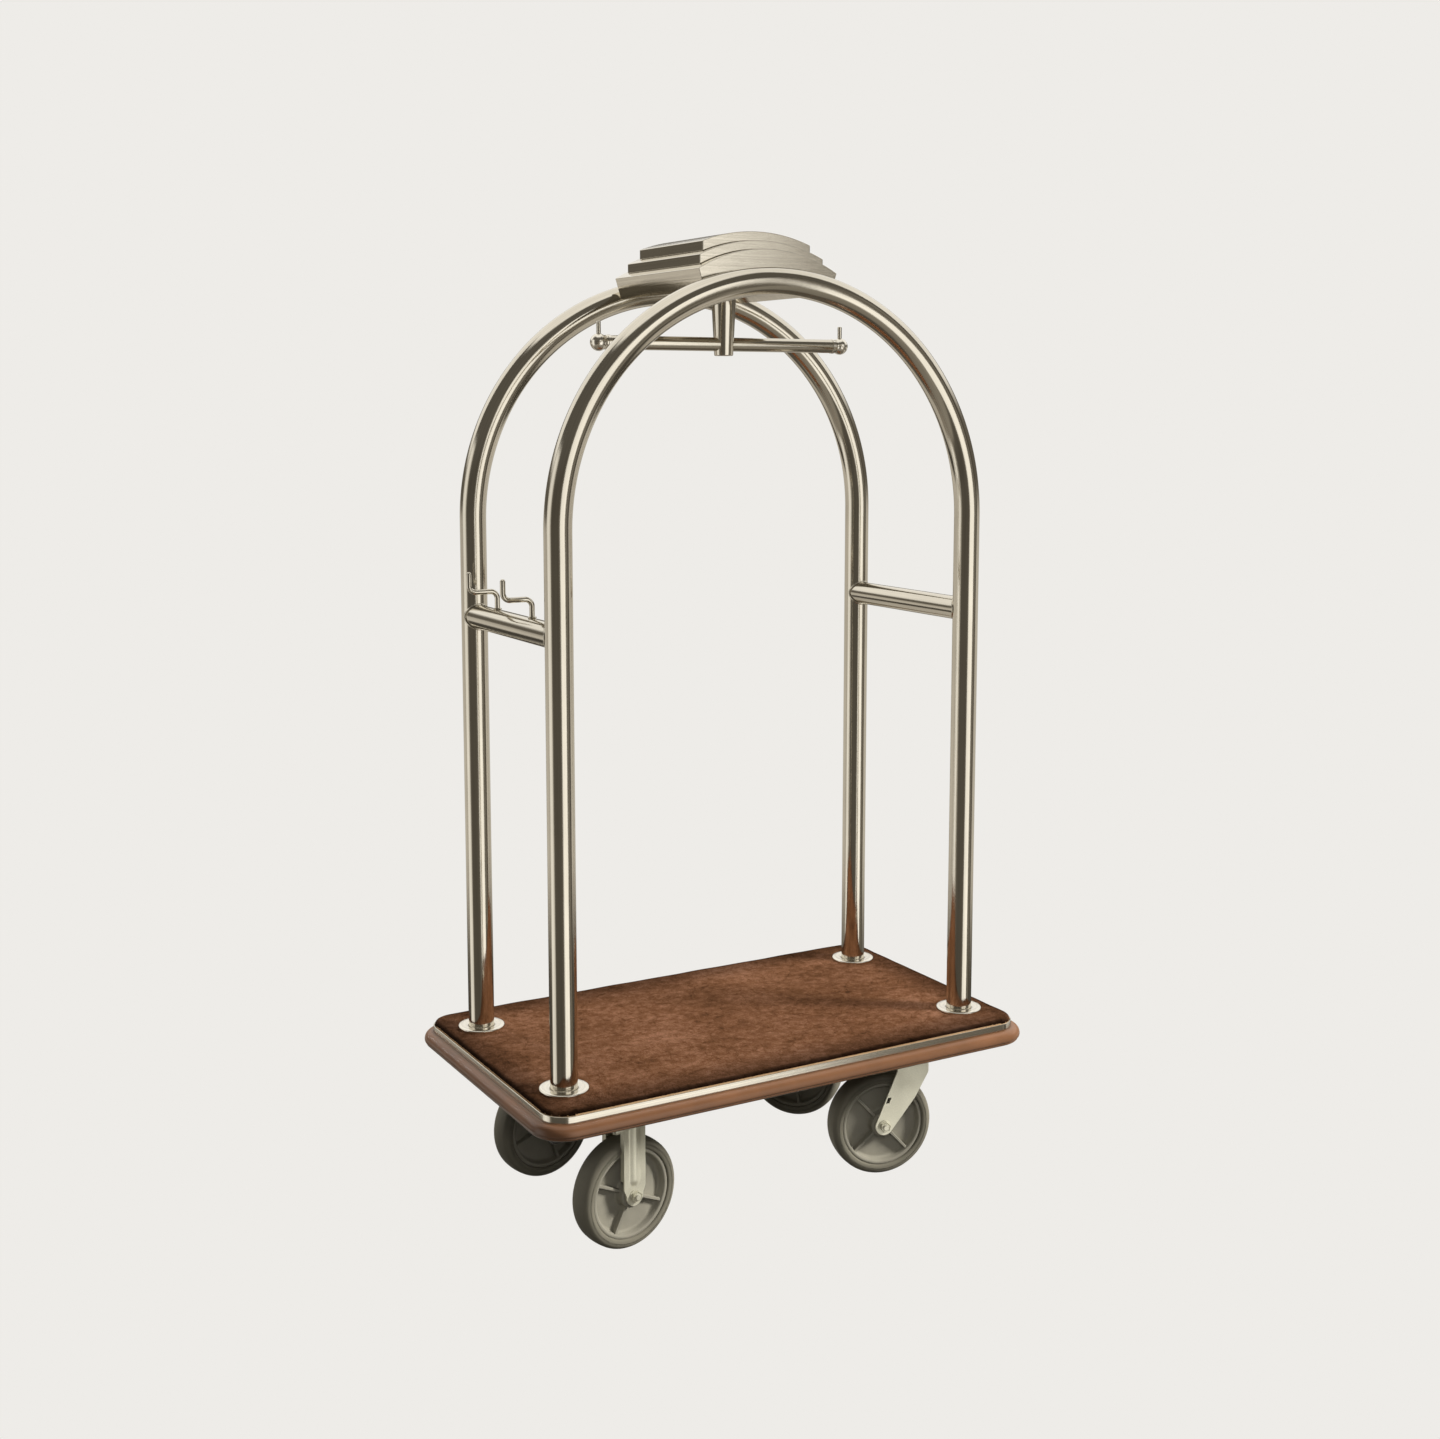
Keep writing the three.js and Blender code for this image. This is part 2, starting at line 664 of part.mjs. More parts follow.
// A rim and a hub on a disc, stiffened by four spokes on each face.
function wheelCoreGeometry(spokeAngle) {
  const bore = (BEARING_RADIUS + GAP) / Math.cos(Math.PI / CORE_SIDES);
  const side = [
    [bore, HUB_HALF_WIDTH],
    [HUB_RADIUS - 2, HUB_HALF_WIDTH],
    [HUB_RADIUS, DISC_HALF_THICKNESS],
    [RECESS_RADIUS, DISC_HALF_THICKNESS],
    [RECESS_RADIUS + 2, CORE_HALF_WIDTH],
    [CORE_RADIUS, CORE_HALF_WIDTH],
  ];
  const otherSide = side.map(([r, y]) => [r, -y]).reverse();
  const disc = turned([...side, ...otherSide], CORE_SIDES, Math.PI / CORE_SIDES);
  const inner = HUB_RADIUS - 3;
  const outer = RECESS_RADIUS + 2;
  const spokes = [0, 1, 2, 3].map((quarter) =>
    box(
      inner,
      outer,
      -SPOKE_HALF_WIDTH,
      SPOKE_HALF_WIDTH,
      -SPOKE_HALF_THICKNESS,
      SPOKE_HALF_THICKNESS,
    ).rotateY(-spokeAngle - (quarter * Math.PI) / 2),
  );
  return join(disc, ...spokes);
}

function bearingGeometry() {
  const bore = (AXLE_RADIUS + RUNNING_GAP) / Math.cos(Math.PI / SMALL_SIDES);
  return turned(
    [
      [bore, -HUB_HALF_WIDTH],
      [BEARING_RADIUS, -HUB_HALF_WIDTH],
      [BEARING_RADIUS, HUB_HALF_WIDTH],
      [bore, HUB_HALF_WIDTH],
    ],
    SMALL_SIDES,
  );
}

// ---- Casters --------------------------------------------------------------------------------

function axleHole() {
  const shape = new THREE.Shape(holePoints(AXLE_RADIUS + GAP, SMALL_SIDES));
  return crosswise(shape, 4 * LEG_INNER);
}

// Straight legs with a rounded foot, each stiffened by a raised rib, under a plate.
// Heights here are above the axle.
function rigidFrameGeometry() {
  const plateTop = CASTER_HEIGHT - WHEEL_RADIUS;
  const plateBottom = plateTop - PLATE_THICKNESS;
  const half = RIGID_LEG_WIDTH / 2;
  const foot = LEG_TAB_RADIUS;
  const outline = new THREE.Shape();
  outline.moveTo(-half, plateTop - 1);
  outline.lineTo(-half, foot);
  outline.lineTo(-foot, 0);
  outline.absarc(0, 0, foot, Math.PI, 2 * Math.PI, false);
  outline.lineTo(half, foot);
  outline.lineTo(half, plateTop - 1);
  const middle = LEG_INNER + LEG_THICKNESS / 2;
  const legs = [-1, 1].map((side) => crosswise(outline, LEG_THICKNESS, side * middle));
  const ribFoot = LEG_TAB_RADIUS;
  const ribs = [-1, 1].map((side) => {
    const rod = upright(new THREE.Shape(circlePoints(RIB_WIDTH / 2, SMALL_SIDES)), ribFoot, plateTop - 1);
    rod.scale(1, (2 * RIB_PROUD) / RIB_WIDTH, 1);
    return rod.translate(0, side * (LEG_INNER + LEG_THICKNESS), 0);
  });
  const clearance = crosswise(
    rectangleShape(-PLATE_LENGTH, PLATE_LENGTH, -WHEEL_RADIUS, plateBottom),
    2 * LEG_INNER,
  );
  const plate = box(
    -PLATE_LENGTH / 2,
    PLATE_LENGTH / 2,
    -PLATE_WIDTH / 2,
    PLATE_WIDTH / 2,
    plateBottom,
    plateTop,
  );
  return cut(join(plate, ...legs, ...ribs), clearance, axleHole());
}

// Slanted legs that carry the axle behind the kingpin, joined by a crown with a hole for it.
// Heights here are above the axle, and the kingpin is at x = TRAIL.
function swivelForkGeometry() {
  const top = FORK_CROWN_TOP - WHEEL_RADIUS;
  const back = TRAIL + 42;
  const front = TRAIL - 22;
  const outline = new THREE.Shape();
  outline.absarc(0, 0, LEG_TAB_RADIUS, Math.PI * 0.86, Math.PI * 1.8, false);
  outline.lineTo(TRAIL + 16, 55);
  outline.lineTo(back, 100);
  outline.lineTo(back, top);
  outline.lineTo(front, top);
  outline.lineTo(front, 108);
  const middle = LEG_INNER + LEG_THICKNESS / 2;
  const legs = [-1, 1].map((side) => crosswise(outline, LEG_THICKNESS, side * middle));
  const reach = LEG_INNER + LEG_THICKNESS;
  const crown = box(front, back, -reach, reach, top - LEG_THICKNESS, top);
  const pinHole = upright(
    new THREE.Shape(holePoints(KINGPIN_RADIUS + RUNNING_GAP, SMALL_SIDES, TRAIL)),
    top - 2 * LEG_THICKNESS,
    top + LEG_THICKNESS,
  );
  return cut(join(crown, ...legs), pinHole, axleHole());
}

// A plate with the ball race turned into its underside, about the kingpin.
function swivelPlateGeometry() {
  const bottom = CASTER_HEIGHT - PLATE_THICKNESS;
  const half = PLATE_WIDTH / 2;
  const plate = box(-PLATE_LENGTH / 2, PLATE_LENGTH / 2, -half, half, bottom, CASTER_HEIGHT);
  const race = turnedUpright(
    [
      [0, FORK_CROWN_TOP + RUNNING_GAP],
      [RACE_RADIUS - 4, FORK_CROWN_TOP + RUNNING_GAP],
      [RACE_RADIUS, FORK_CROWN_TOP + 3],
      [RACE_RADIUS, bottom + 1],
      [0, bottom + 1],
    ],
    2 * SMALL_SIDES,
  );
  const pinHole = upright(
    new THREE.Shape(holePoints(KINGPIN_RADIUS + GAP, SMALL_SIDES)),
    FORK_CROWN_TOP,
    CASTER_HEIGHT + 1,
  );
  return cut(join(plate, race), pinHole);
}

function kingpinGeometry() {
  const headTop = FORK_CROWN_TOP - LEG_THICKNESS - RUNNING_GAP;
  return join(
    upright(
      new THREE.Shape(circlePoints(KINGPIN_HEAD_RADIUS, SMALL_SIDES)),
      headTop - KINGPIN_HEAD,
      headTop,
    ),
    upright(
      new THREE.Shape(circlePoints(KINGPIN_RADIUS, SMALL_SIDES)),
      headTop - 1,
      CASTER_HEIGHT - GAP,
    ),
  );
}

// The bolt's head is on the inboard side, and its end stands out of the nut outboard.
function axleBoltGeometry(outboard) {
  const face = LEG_INNER + LEG_THICKNESS + GAP;
  const end = face + AXLE_HEX + AXLE_END_PROUD;
  const length = face + 1 + end;
  const shaftShape = new THREE.Shape(circlePoints(AXLE_RADIUS, SMALL_SIDES));
  const shaft = crosswise(shaftShape, length, (outboard * (end - face - 1)) / 2);
  const headShape = new THREE.Shape(circlePoints(AXLE_HEX_RADIUS, 6));
  const head = crosswise(headShape, AXLE_HEX, -outboard * (face + AXLE_HEX / 2));
  return join(head, shaft);
}

function axleNutGeometry(outboard) {
  const shape = new THREE.Shape(circlePoints(AXLE_HEX_RADIUS, 6));
  shape.holes.push(new THREE.Path(holePoints(AXLE_RADIUS + GAP, SMALL_SIDES).reverse()));
  const face = LEG_INNER + LEG_THICKNESS + GAP;
  return crosswise(shape, AXLE_HEX, outboard * (face + AXLE_HEX / 2));
}

function addWheel(name, spokeAngle, outboard, axle) {
  place(`${name}_tyre`, tyreGeometry(), "tyre", axle);
  place(`${name}_wheel_core`, wheelCoreGeometry(spokeAngle), "core", axle);
  place(`${name}_wheel_bearing`, bearingGeometry(), "zinc", axle);
  place(`${name}_axle_bolt`, axleBoltGeometry(outboard), "zinc", axle);
  place(`${name}_axle_nut`, axleNutGeometry(outboard), "zinc", axle);
}

function addRigidCaster(name, side, spokeAngle) {
  const axle = new THREE.Group();
  axle.position.set(RIGID_X, side * RIGID_Y, WHEEL_RADIUS);
  axle.rotation.z = degrees(RIGID_TURN);
  cart.add(axle);
  place(`${name}_caster_frame`, rigidFrameGeometry(), "zinc", axle);
  addWheel(name, spokeAngle, side, axle);
}

function addSwivelCaster(name, side, spokeAngle, yaw) {
  const mount = new THREE.Group();
  mount.position.set(SWIVEL_X, side * SWIVEL_Y, 0);
  cart.add(mount);
  place(`${name}_caster_plate`, swivelPlateGeometry(), "zinc", mount);
  place(`${name}_kingpin`, kingpinGeometry(), "zinc", mount);
  const swivel = new THREE.Group();
  swivel.rotation.z = yaw;
  mount.add(swivel);
  const axle = new THREE.Group();
  axle.position.set(-TRAIL, 0, WHEEL_RADIUS);
  swivel.add(axle);
  place(`${name}_caster_fork`, swivelForkGeometry(), "zinc", axle);
  addWheel(name, spokeAngle, side, axle);
}

const FRONT = -1;
const REAR = 1;

addDeck();
addFrame();
addArches();
addCrownAndHanger();
addRigidCaster("front_left", FRONT, degrees(65));
addRigidCaster("rear_left", REAR, degrees(20));
addSwivelCaster("front_right", FRONT, degrees(43), degrees(-14));
addSwivelCaster("rear_right", REAR, degrees(10), degrees(-50));

export default cart;
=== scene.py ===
"""The looks of a hotel luggage cart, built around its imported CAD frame. Metres, +Z up."""

import json
import math

import bmesh
import bpy
from mathutils import Matrix, Vector
from mathutils.geometry import tessellate_polygon


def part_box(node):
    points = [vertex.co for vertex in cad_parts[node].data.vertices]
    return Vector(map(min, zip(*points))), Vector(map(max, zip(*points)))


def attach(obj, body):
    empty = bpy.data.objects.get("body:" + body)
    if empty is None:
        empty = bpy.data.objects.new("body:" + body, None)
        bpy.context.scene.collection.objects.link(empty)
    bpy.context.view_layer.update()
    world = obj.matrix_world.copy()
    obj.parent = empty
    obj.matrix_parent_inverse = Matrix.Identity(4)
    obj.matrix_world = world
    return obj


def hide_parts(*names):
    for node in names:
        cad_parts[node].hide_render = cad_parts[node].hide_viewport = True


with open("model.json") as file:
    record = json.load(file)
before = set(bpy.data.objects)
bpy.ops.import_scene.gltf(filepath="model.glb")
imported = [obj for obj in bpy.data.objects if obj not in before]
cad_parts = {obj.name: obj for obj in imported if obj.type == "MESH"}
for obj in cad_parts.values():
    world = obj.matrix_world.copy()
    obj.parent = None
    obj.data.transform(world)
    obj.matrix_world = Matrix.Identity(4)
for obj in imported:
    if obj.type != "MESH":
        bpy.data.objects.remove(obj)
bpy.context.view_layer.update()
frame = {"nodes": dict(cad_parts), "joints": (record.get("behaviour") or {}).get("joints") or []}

MM = 0.001
TUBE_RADIUS = 24.15 * MM
GRAIN = "grain"  # the UV map that follows the brushing: U along the scratches, V across, in metres

# ---- Camera ----

CAMERA_PLACE = (-1.6923, -2.9319, 1.4922)
CAMERA_AZIMUTH = math.radians(-29.92)
CAMERA_ELEVATION = math.radians(7.19)
CAMERA_LENS = 45.37  # millimetres, on a sensor 36 mm wide
CAMERA_SHIFT = (-0.0009, -0.0613)


def add_camera():
    data = bpy.data.cameras.new("camera")
    data.lens = CAMERA_LENS
    data.sensor_width = 36
    data.shift_x, data.shift_y = CAMERA_SHIFT
    camera = bpy.data.objects.new("camera", data)
    bpy.context.scene.collection.objects.link(camera)
    sin_a, cos_a = math.sin(CAMERA_AZIMUTH), math.cos(CAMERA_AZIMUTH)
    sin_e, cos_e = math.sin(CAMERA_ELEVATION), math.cos(CAMERA_ELEVATION)
    back = Vector((sin_a * cos_e, -cos_a * cos_e, sin_e))
    right = Vector((cos_a, sin_a, 0))
    turn = Matrix((right, back.cross(right), back)).transposed()
    camera.matrix_world = Matrix.Translation(CAMERA_PLACE) @ turn.to_4x4()
    bpy.context.scene.camera = camera


add_camera()

# ---- Materials ----


class Nodes:
    """Short ways to add nodes to a shader tree."""

    def __init__(self, tree):
        self.tree = tree

    def node(self, kind, inputs=None, **settings):
        node = self.tree.nodes.new(kind)
        for key, value in settings.items():
            setattr(node, key, value)
        for socket, value in (inputs or {}).items():
            self.feed(node.inputs[socket], value)
        return node

    def feed(self, socket, value):
        if isinstance(value, bpy.types.NodeSocket):
            self.tree.links.new(value, socket)
        else:
            socket.default_value = value

    def math(self, operation, a, b=0.0):
        return self.node("ShaderNodeMath", {0: a, 1: b}, operation=operation).outputs[0]

    def mix(self, share, first, second, kind="MIX"):
        inputs = {0: share, 6: first, 7: second}
        return self.node("ShaderNodeMix", inputs, data_type="RGBA", blend_type=kind).outputs[2]

    def ramp(self, value, stops, interpolation="LINEAR"):
        node = self.node("ShaderNodeValToRGB", {"Fac": value})
        node.color_ramp.interpolation = interpolation
        elements = node.color_ramp.elements
        while len(elements) < len(stops):
            elements.new(0.5)
        for element, (at, colour) in zip(elements, stops):
            element.position = at
            element.color = (*colour, 1)
        return node.outputs["Color"]

    def between(self, value, low, high, start=0.0, end=1.0, interpolation="LINEAR"):
        inputs = {"Value": value, "From Min": start, "From Max": end, "To Min": low, "To Max": high}
        node = self.node("ShaderNodeMapRange", inputs, interpolation_type=interpolation)
        return node.outputs["Result"]


class Look(Nodes):
    """A Principled material, with its object coordinates and its grain map at hand."""

    def __init__(self, name, **values):
        self.material = bpy.data.materials.new(name)
        self.material.use_nodes = True
        super().__init__(self.material.node_tree)
        self.shader = self.tree.nodes["Principled BSDF"]
        for socket, value in values.items():
            self.shader.inputs[socket.replace("_", " ")].default_value = value
        self.place = self.node("ShaderNodeTexCoord").outputs["Object"]
        self.grain = self.node("ShaderNodeUVMap", uv_map=GRAIN).outputs["UV"]

    def shade(self, socket, value):
        self.feed(self.shader.inputs[socket], value)

    def noise(self, where, scale, detail=3.0, roughness=0.55):
        """Noise that runs from 0 to 1, with its own scale along each axis of where."""
        spread = self.node("ShaderNodeVectorMath", {0: where, 1: scale}, operation="MULTIPLY")
        inputs = {"Vector": spread.outputs[0], "Scale": 1.0, "Detail": detail, "Roughness": roughness}
        return self.node("ShaderNodeTexNoise", inputs).outputs["Fac"]

    def cells(self, where, scale):
        inputs = {"Vector": where, "Scale": scale}
        return self.node("ShaderNodeTexVoronoi", inputs).outputs["Distance"]

    def blend(self, parts):
        """The weighted sum of several values, from pairs of (value, weight)."""
        total = 0.0
        for value, weight in parts:
            total = self.math("ADD", self.math("MULTIPLY", value, weight), total)
        return total

    def bump(self, height, depth, strength=1.0):
        inputs = {"Height": height, "Distance": depth, "Strength": strength}
        self.shade("Normal", self.node("ShaderNodeBump", inputs).outputs["Normal"])


def tint(colour, factor):
    return tuple(min(1.0, channel * factor) for channel in colour)


def brushed_steel(name, colour, roughness, contrast=0.12):
    """Warm stainless steel with hairline scratches along the grain and a few handled patches."""
    look = Look(name, Metallic=1.0, IOR=2.2)
    hairs = look.noise(look.grain, (16.0, 2600.0, 1.0))
    bands = look.noise(look.grain, (1.6, 240.0, 1.0))
    patches = look.noise(look.place, (7.0, 7.0, 7.0), detail=4.0)
    tone = look.blend([(hairs, 0.35), (bands, 0.45), (patches, 0.2)])
    dark, light = tint(colour, 1 - contrast), tint(colour, 1 + contrast)
    look.shade("Base Color", look.ramp(tone, [(0.38, dark), (0.62, light)]))
    look.shade("Roughness", look.between(tone, roughness + 0.04, roughness - 0.04, 0.35, 0.65))
    look.bump(look.blend([(hairs, 0.25), (bands, 0.75)]), 0.0001)
    return look.material


def plated_steel(name, colour, roughness):
    """Pale zinc plate: fine crystals, cloudy patches and a slightly rough skin."""
    look = Look(name, Metallic=0.55)
    crystals = look.cells(look.place, 420.0)
    clouds = look.noise(look.place, (26.0, 26.0, 26.0), detail=5.0)
    streaks = look.noise(look.place, (30.0, 30.0, 5.0), detail=2.0)
    tone = look.blend([(crystals, 0.25), (clouds, 0.5), (streaks, 0.35)])
    stops = [(0.25, tint(colour, 0.8)), (0.5, colour), (0.8, tint(colour, 1.12))]
    look.shade("Base Color", look.ramp(tone, stops))
    look.shade("Roughness", look.between(clouds, roughness - 0.08, roughness + 0.1, 0.3, 0.7))
    look.bump(crystals, 0.00005, 0.5)
    return look.material


def carpet_pile(name, half_length, half_width):
    """Short brown loop pile: tufts, mottled shades and soft creases, with painted shade in the creases
    and towards the edges.
    """
    look = Look(name, Roughness=1.0, Specular_IOR_Level=0.05)
    shades = look.noise(look.place, (5.0, 5.0, 5.0), detail=7.0, roughness=0.65)
    mottle = look.noise(look.place, (60.0, 60.0, 60.0), detail=5.0, roughness=0.65)
    fibres = look.noise(look.place, (520.0, 520.0, 520.0), detail=2.0, roughness=0.7)
    tufts = look.cells(look.place, 330.0)
    warp = look.node("ShaderNodeTexNoise", {"Vector": look.place, "Scale": 7.0, "Detail": 4.0})
    inputs = {0: look.place, 1: warp.outputs["Color"]}
    warped = look.node("ShaderNodeVectorMath", inputs, operation="ADD").outputs[0]
    inputs = {"Vector": warped, "Scale": 5.5}
    creases = look.node("ShaderNodeTexVoronoi", inputs, feature="DISTANCE_TO_EDGE")
    crease_shade_and_dent = look.between(creases.outputs["Distance"], 0.0, 1.0, 0.0, 0.05)
    # Painted shade: the crease lines are darker in the colour, and the bump below also dents them.
    tone = look.blend([(shades, 0.36), (mottle, 0.36), (fibres, 0.14), (tufts, 0.1), (crease_shade_and_dent, 0.06)])
    browns = [
        (0.38, (0.034, 0.016, 0.008)),
        (0.47, (0.079, 0.035, 0.016)),
        (0.54, (0.116, 0.053, 0.027)),
        (0.64, (0.190, 0.096, 0.058)),
    ]
    colour = look.ramp(tone, browns)
    # Painted shade: the colour darkens towards the deck's edges, to 0.4 over the last 10 cm, and to 0.22
    # on the rolled rim within 12 mm of the edge.
    axes = look.node("ShaderNodeSeparateXYZ", {0: look.place}).outputs
    gap_x = look.math("SUBTRACT", half_length, look.math("ABSOLUTE", axes[0]))
    gap_y = look.math("SUBTRACT", half_width, look.math("ABSOLUTE", axes[1]))
    nearest = look.math("MINIMUM", gap_x, gap_y)
    broad_edge_shade = look.between(nearest, 0.4, 1.0, 0.0, 0.1, "SMOOTHSTEP")
    rim = look.between(nearest, 0.22, 1.0, 0.002, 0.012)
    # edge is the whole painted edge shade, the broad part and the rim part together.
    edge = look.math("MULTIPLY", broad_edge_shade, rim)
    look.shade("Base Color", look.mix(1.0, colour, edge, "MULTIPLY"))
    height = look.blend([(fibres, 0.5), (tufts, -0.6), (mottle, 0.6), (crease_shade_and_dent, 0.15)])
    look.bump(height, 0.0012)
    return look.material


def moulded(name, colour, roughness, coat=0.0, specular=0.5):
    """Rubber, plastic or paint: a fine skin texture, faint cloudy shades and rubbed patches."""
    look = Look(name, Specular_IOR_Level=specular, Coat_Weight=coat, Coat_Roughness=0.2)
    clouds = look.noise(look.place, (18.0, 18.0, 18.0), detail=5.0)
    specks = look.noise(look.place, (900.0, 900.0, 900.0), detail=2.0)
    tone = look.blend([(clouds, 0.75), (specks, 0.25)])
    stops = [(0.35, tint(colour, 0.88)), (0.65, tint(colour, 1.12))]
    look.shade("Base Color", look.ramp(tone, stops))
    look.shade("Roughness", look.between(tone, roughness - 0.07, roughness + 0.1, 0.3, 0.7))
    look.bump(specks, 0.00008, 0.6)
    return look.material


def plywood(name):
    look = Look(name, Roughness=0.75)
    rings = look.noise(look.place, (2.5, 38.0, 240.0), detail=4.0)
    pores = look.noise(look.place, (30.0, 700.0, 700.0), detail=2.0)
    tone = look.blend([(rings, 0.7), (pores, 0.3)])
    stops = [(0.35, (0.22, 0.12, 0.055)), (0.65, (0.5, 0.34, 0.19))]
    look.shade("Base Color", look.ramp(tone, stops))
    look.bump(pores, 0.0002)
    return look.material


STEEL = brushed_steel("brushed_steel", (0.72, 0.675, 0.58), 0.1)
BRIGHT = brushed_steel("bright_steel", (0.86, 0.82, 0.73), 0.2, contrast=0.08)
ZINC = plated_steel("zinc_steel", (0.70, 0.68, 0.55), 0.38)
FRAME_PAINT = moulded("frame_paint", (0.035, 0.033, 0.03), 0.5)
CARPET = carpet_pile("carpet", *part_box("deck_carpet")[1].xy)
PLYWOOD = plywood("plywood")
BUMPER = moulded("bumper", (0.150, 0.070, 0.034), 0.34, coat=0.15)
TYRE = moulded("tyre", (0.17, 0.158, 0.122), 0.6, specular=0.35)
CORE = moulded("wheel_core", (0.25, 0.235, 0.19), 0.5, specular=0.4)

# ---- Mesh making ----


def arc(centre_a, centre_b, radius, start, end, steps):
    """Points (a, b) round a centre, between two angles in degrees."""
    angles = (math.radians(start + (end - start) * i / steps) for i in range(steps + 1))
    return [(centre_a + radius * math.cos(t), centre_b + radius * math.sin(t)) for t in angles]


def full_turn(count):
    """Evenly spread angles in radians, all the way round."""
    return [2 * math.pi * k / count for k in range(count)]


def running_lengths(points, closed):
    total, lengths = 0.0, [0.0]
    ends = points[1:] + ([points[0]] if closed else [])
    for before, after in zip(points, ends):
        total += (after - before).length
        lengths.append(total)
    return lengths


def skin(name, rings, along=False, caps=True, grain_around=False):
    """A mesh over rings of points, each one closed. along joins the last ring to the first."""
    count = len(rings[0])
    across = running_lengths(rings[len(rings) // 2], True)
    down = running_lengths([ring[0] for ring in rings], along)
    faces, grain = [], []
    for i in range(len(rings) if along else len(rings) - 1):
        for j in range(count):
            next_i, next_j = (i + 1) % len(rings), (j + 1) % count
            faces.append((i * count + j, i * count + next_j, next_i * count + next_j, next_i * count + j))
            corners = [(i, j), (i, j + 1), (i + 1, j + 1), (i + 1, j)]
            pairs = [(down[a], across[b]) for a, b in corners]
            grain.append([(v, u) for u, v in pairs] if grain_around else pairs)
    if caps and not along:
        last = (len(rings) - 1) * count
        faces.append(tuple(range(count)))
        faces.append(tuple(range(last + count - 1, last - 1, -1)))
        for cap in (rings[0], rings[-1][::-1]):
            side = (cap[1] - cap[0]).normalized()
            other = (cap[2] - cap[0]).cross(side).cross(side).normalized()
            grain.append([(point.dot(side), point.dot(other)) for point in cap])
    mesh = bpy.data.meshes.new(name)
    mesh.from_pydata([point for ring in rings for point in ring], [], faces)
    layer = mesh.uv_layers.new(name=GRAIN)
    for loop, pair in zip(layer.data, (pair for face in grain for pair in face)):
        loop.uv = pair
    face_outwards(mesh)
    return mesh


def face_outwards(mesh):
    edit = bmesh.new()
    edit.from_mesh(mesh)
    bmesh.ops.recalc_face_normals(edit, faces=edit.faces)
    edit.to_mesh(mesh)
    edit.free()


def brush(mesh, along):
    """Lays the grain map flat on each face, with the scratches along the given direction."""
    layer = mesh.uv_layers[GRAIN].data
    for polygon in mesh.polygons:
        normal = polygon.normal
        first = along - normal * along.dot(normal)
        if first.length < 0.2:
            first = normal.orthogonal()
        first.normalize()
        second = normal.cross(first)
        for loop in polygon.loop_indices:
            point = mesh.vertices[mesh.loops[loop].vertex_index].co
            layer[loop].uv = (point.dot(first), point.dot(second))


def circle(point, tangent, normal, radius, sides):
    other = tangent.cross(normal)
    return [point + radius * (math.cos(t) * normal + math.sin(t) * other) for t in full_turn(sides)]


def swept(name, points, radii, sides):
    """A round rod along points, with a radius at each."""
    tangents = []
    for i in range(len(points)):
        before, after = points[max(i - 1, 0)], points[min(i + 1, len(points) - 1)]
        tangents.append((after - before).normalized())
    normal = tangents[0].orthogonal().normalized()
    rings = []
    for point, tangent, radius in zip(points, tangents, radii):
        normal = (normal - tangent * normal.dot(tangent)).normalized()
        rings.append(circle(point, tangent, normal, radius, sides))
    return skin(name, rings)


def closed_rod(name, points, radius, sides=12):
    """A round rod along a closed loop of points, such as a weld bead."""
    count = len(points)
    rings = []
    for i, point in enumerate(points):
        tangent = (points[(i + 1) % count] - points[i - 1]).normalized()
        normal = (point - sum(points, Vector()) / count).normalized()
        normal = (normal - tangent * normal.dot(tangent)).normalized()
        rings.append(circle(point, tangent, normal, radius, sides))
    return skin(name, rings, along=True)


def lathe(name, profile, sides=96, closed=False, axis="Z"):
    """A profile of (radius, distance along the axis), turned. A closed profile makes a ring."""
    rings = []
    for radius, distance in profile:
        ring = []
        for turn in full_turn(sides):
            a, b = radius * math.cos(turn), radius * math.sin(turn)
            ring.append(Vector((a, b, distance) if axis == "Z" else (a, distance, b)))
        rings.append(ring)
    return skin(name, rings, along=closed, grain_around=True)


PLACES = {
    "X": lambda a, b, depth: Vector((depth, a, b)),
    "Y": lambda a, b, depth: Vector((a, depth, b)),
    "Z": lambda a, b, depth: Vector((a, b, depth)),
}


def prism(name, outline, near, far, axis="Y", along=(1, 0, 0), hole=()):
    """A flat outline with thickness: (x, z) pairs across Y, (x, y) pairs up Z, (y, z) across X."""
    if hole:
        mesh = pierced(name, outline, hole, near, far, PLACES[axis])
    else:
        mesh = skin(name, [[PLACES[axis](a, b, depth) for a, b in outline] for depth in (near, far)])
    brush(mesh, Vector(along))
    return mesh


def pierced(name, outline, hole, near, far, locate):
    """A flat outline with thickness and one hole through it."""
    flat = [*outline, *hole]
    loops = [[Vector((a, b, 0)) for a, b in loop] for loop in (outline, hole)]
    triangles = tessellate_polygon(loops)
    count = len(flat)
    faces = [tuple(corners) for corners in triangles]
    faces += [tuple(corner + count for corner in corners) for corners in triangles]
    for start, loop in ((0, outline), (len(outline), hole)):
        for i in range(len(loop)):
            a, b = start + i, start + (i + 1) % len(loop)
            faces.append((a, b, b + count, a + count))
    mesh = bpy.data.meshes.new(name)
    mesh.from_pydata([locate(a, b, depth) for depth in (near, far) for a, b in flat], [], faces)
    mesh.uv_layers.new(name=GRAIN)
    face_outwards(mesh)
    return mesh


def add(name, mesh, material, body="cart", replaces=(), place=None, sharp=35, bevel=0.0):
    """Puts a mesh in the scene as a piece that rides on a body and may stand for CAD nodes."""
    if place is not None:
        mesh.transform(place)
    mesh.materials.append(material)
    mesh.shade_smooth()
    if sharp:
        mesh.set_sharp_from_angle(angle=math.radians(sharp))
    piece = bpy.data.objects.new(name, mesh)
    bpy.context.scene.collection.objects.link(piece)
    if bevel:
        rounding = piece.modifiers.new("rounding", "BEVEL")
        rounding.width = bevel
        rounding.segments = 3
        rounding.limit_method = "ANGLE"
        rounding.angle_limit = math.radians(40)
        rounding.harden_normals = True
    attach(piece, body)
    if replaces:
        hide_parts(*replaces)
    return piece


def middle(node):
    low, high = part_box(node)
    return (low + high) / 2


def span(node):
    low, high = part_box(node)
    return high - low


# ---- Arches, crossbars and flanges ----

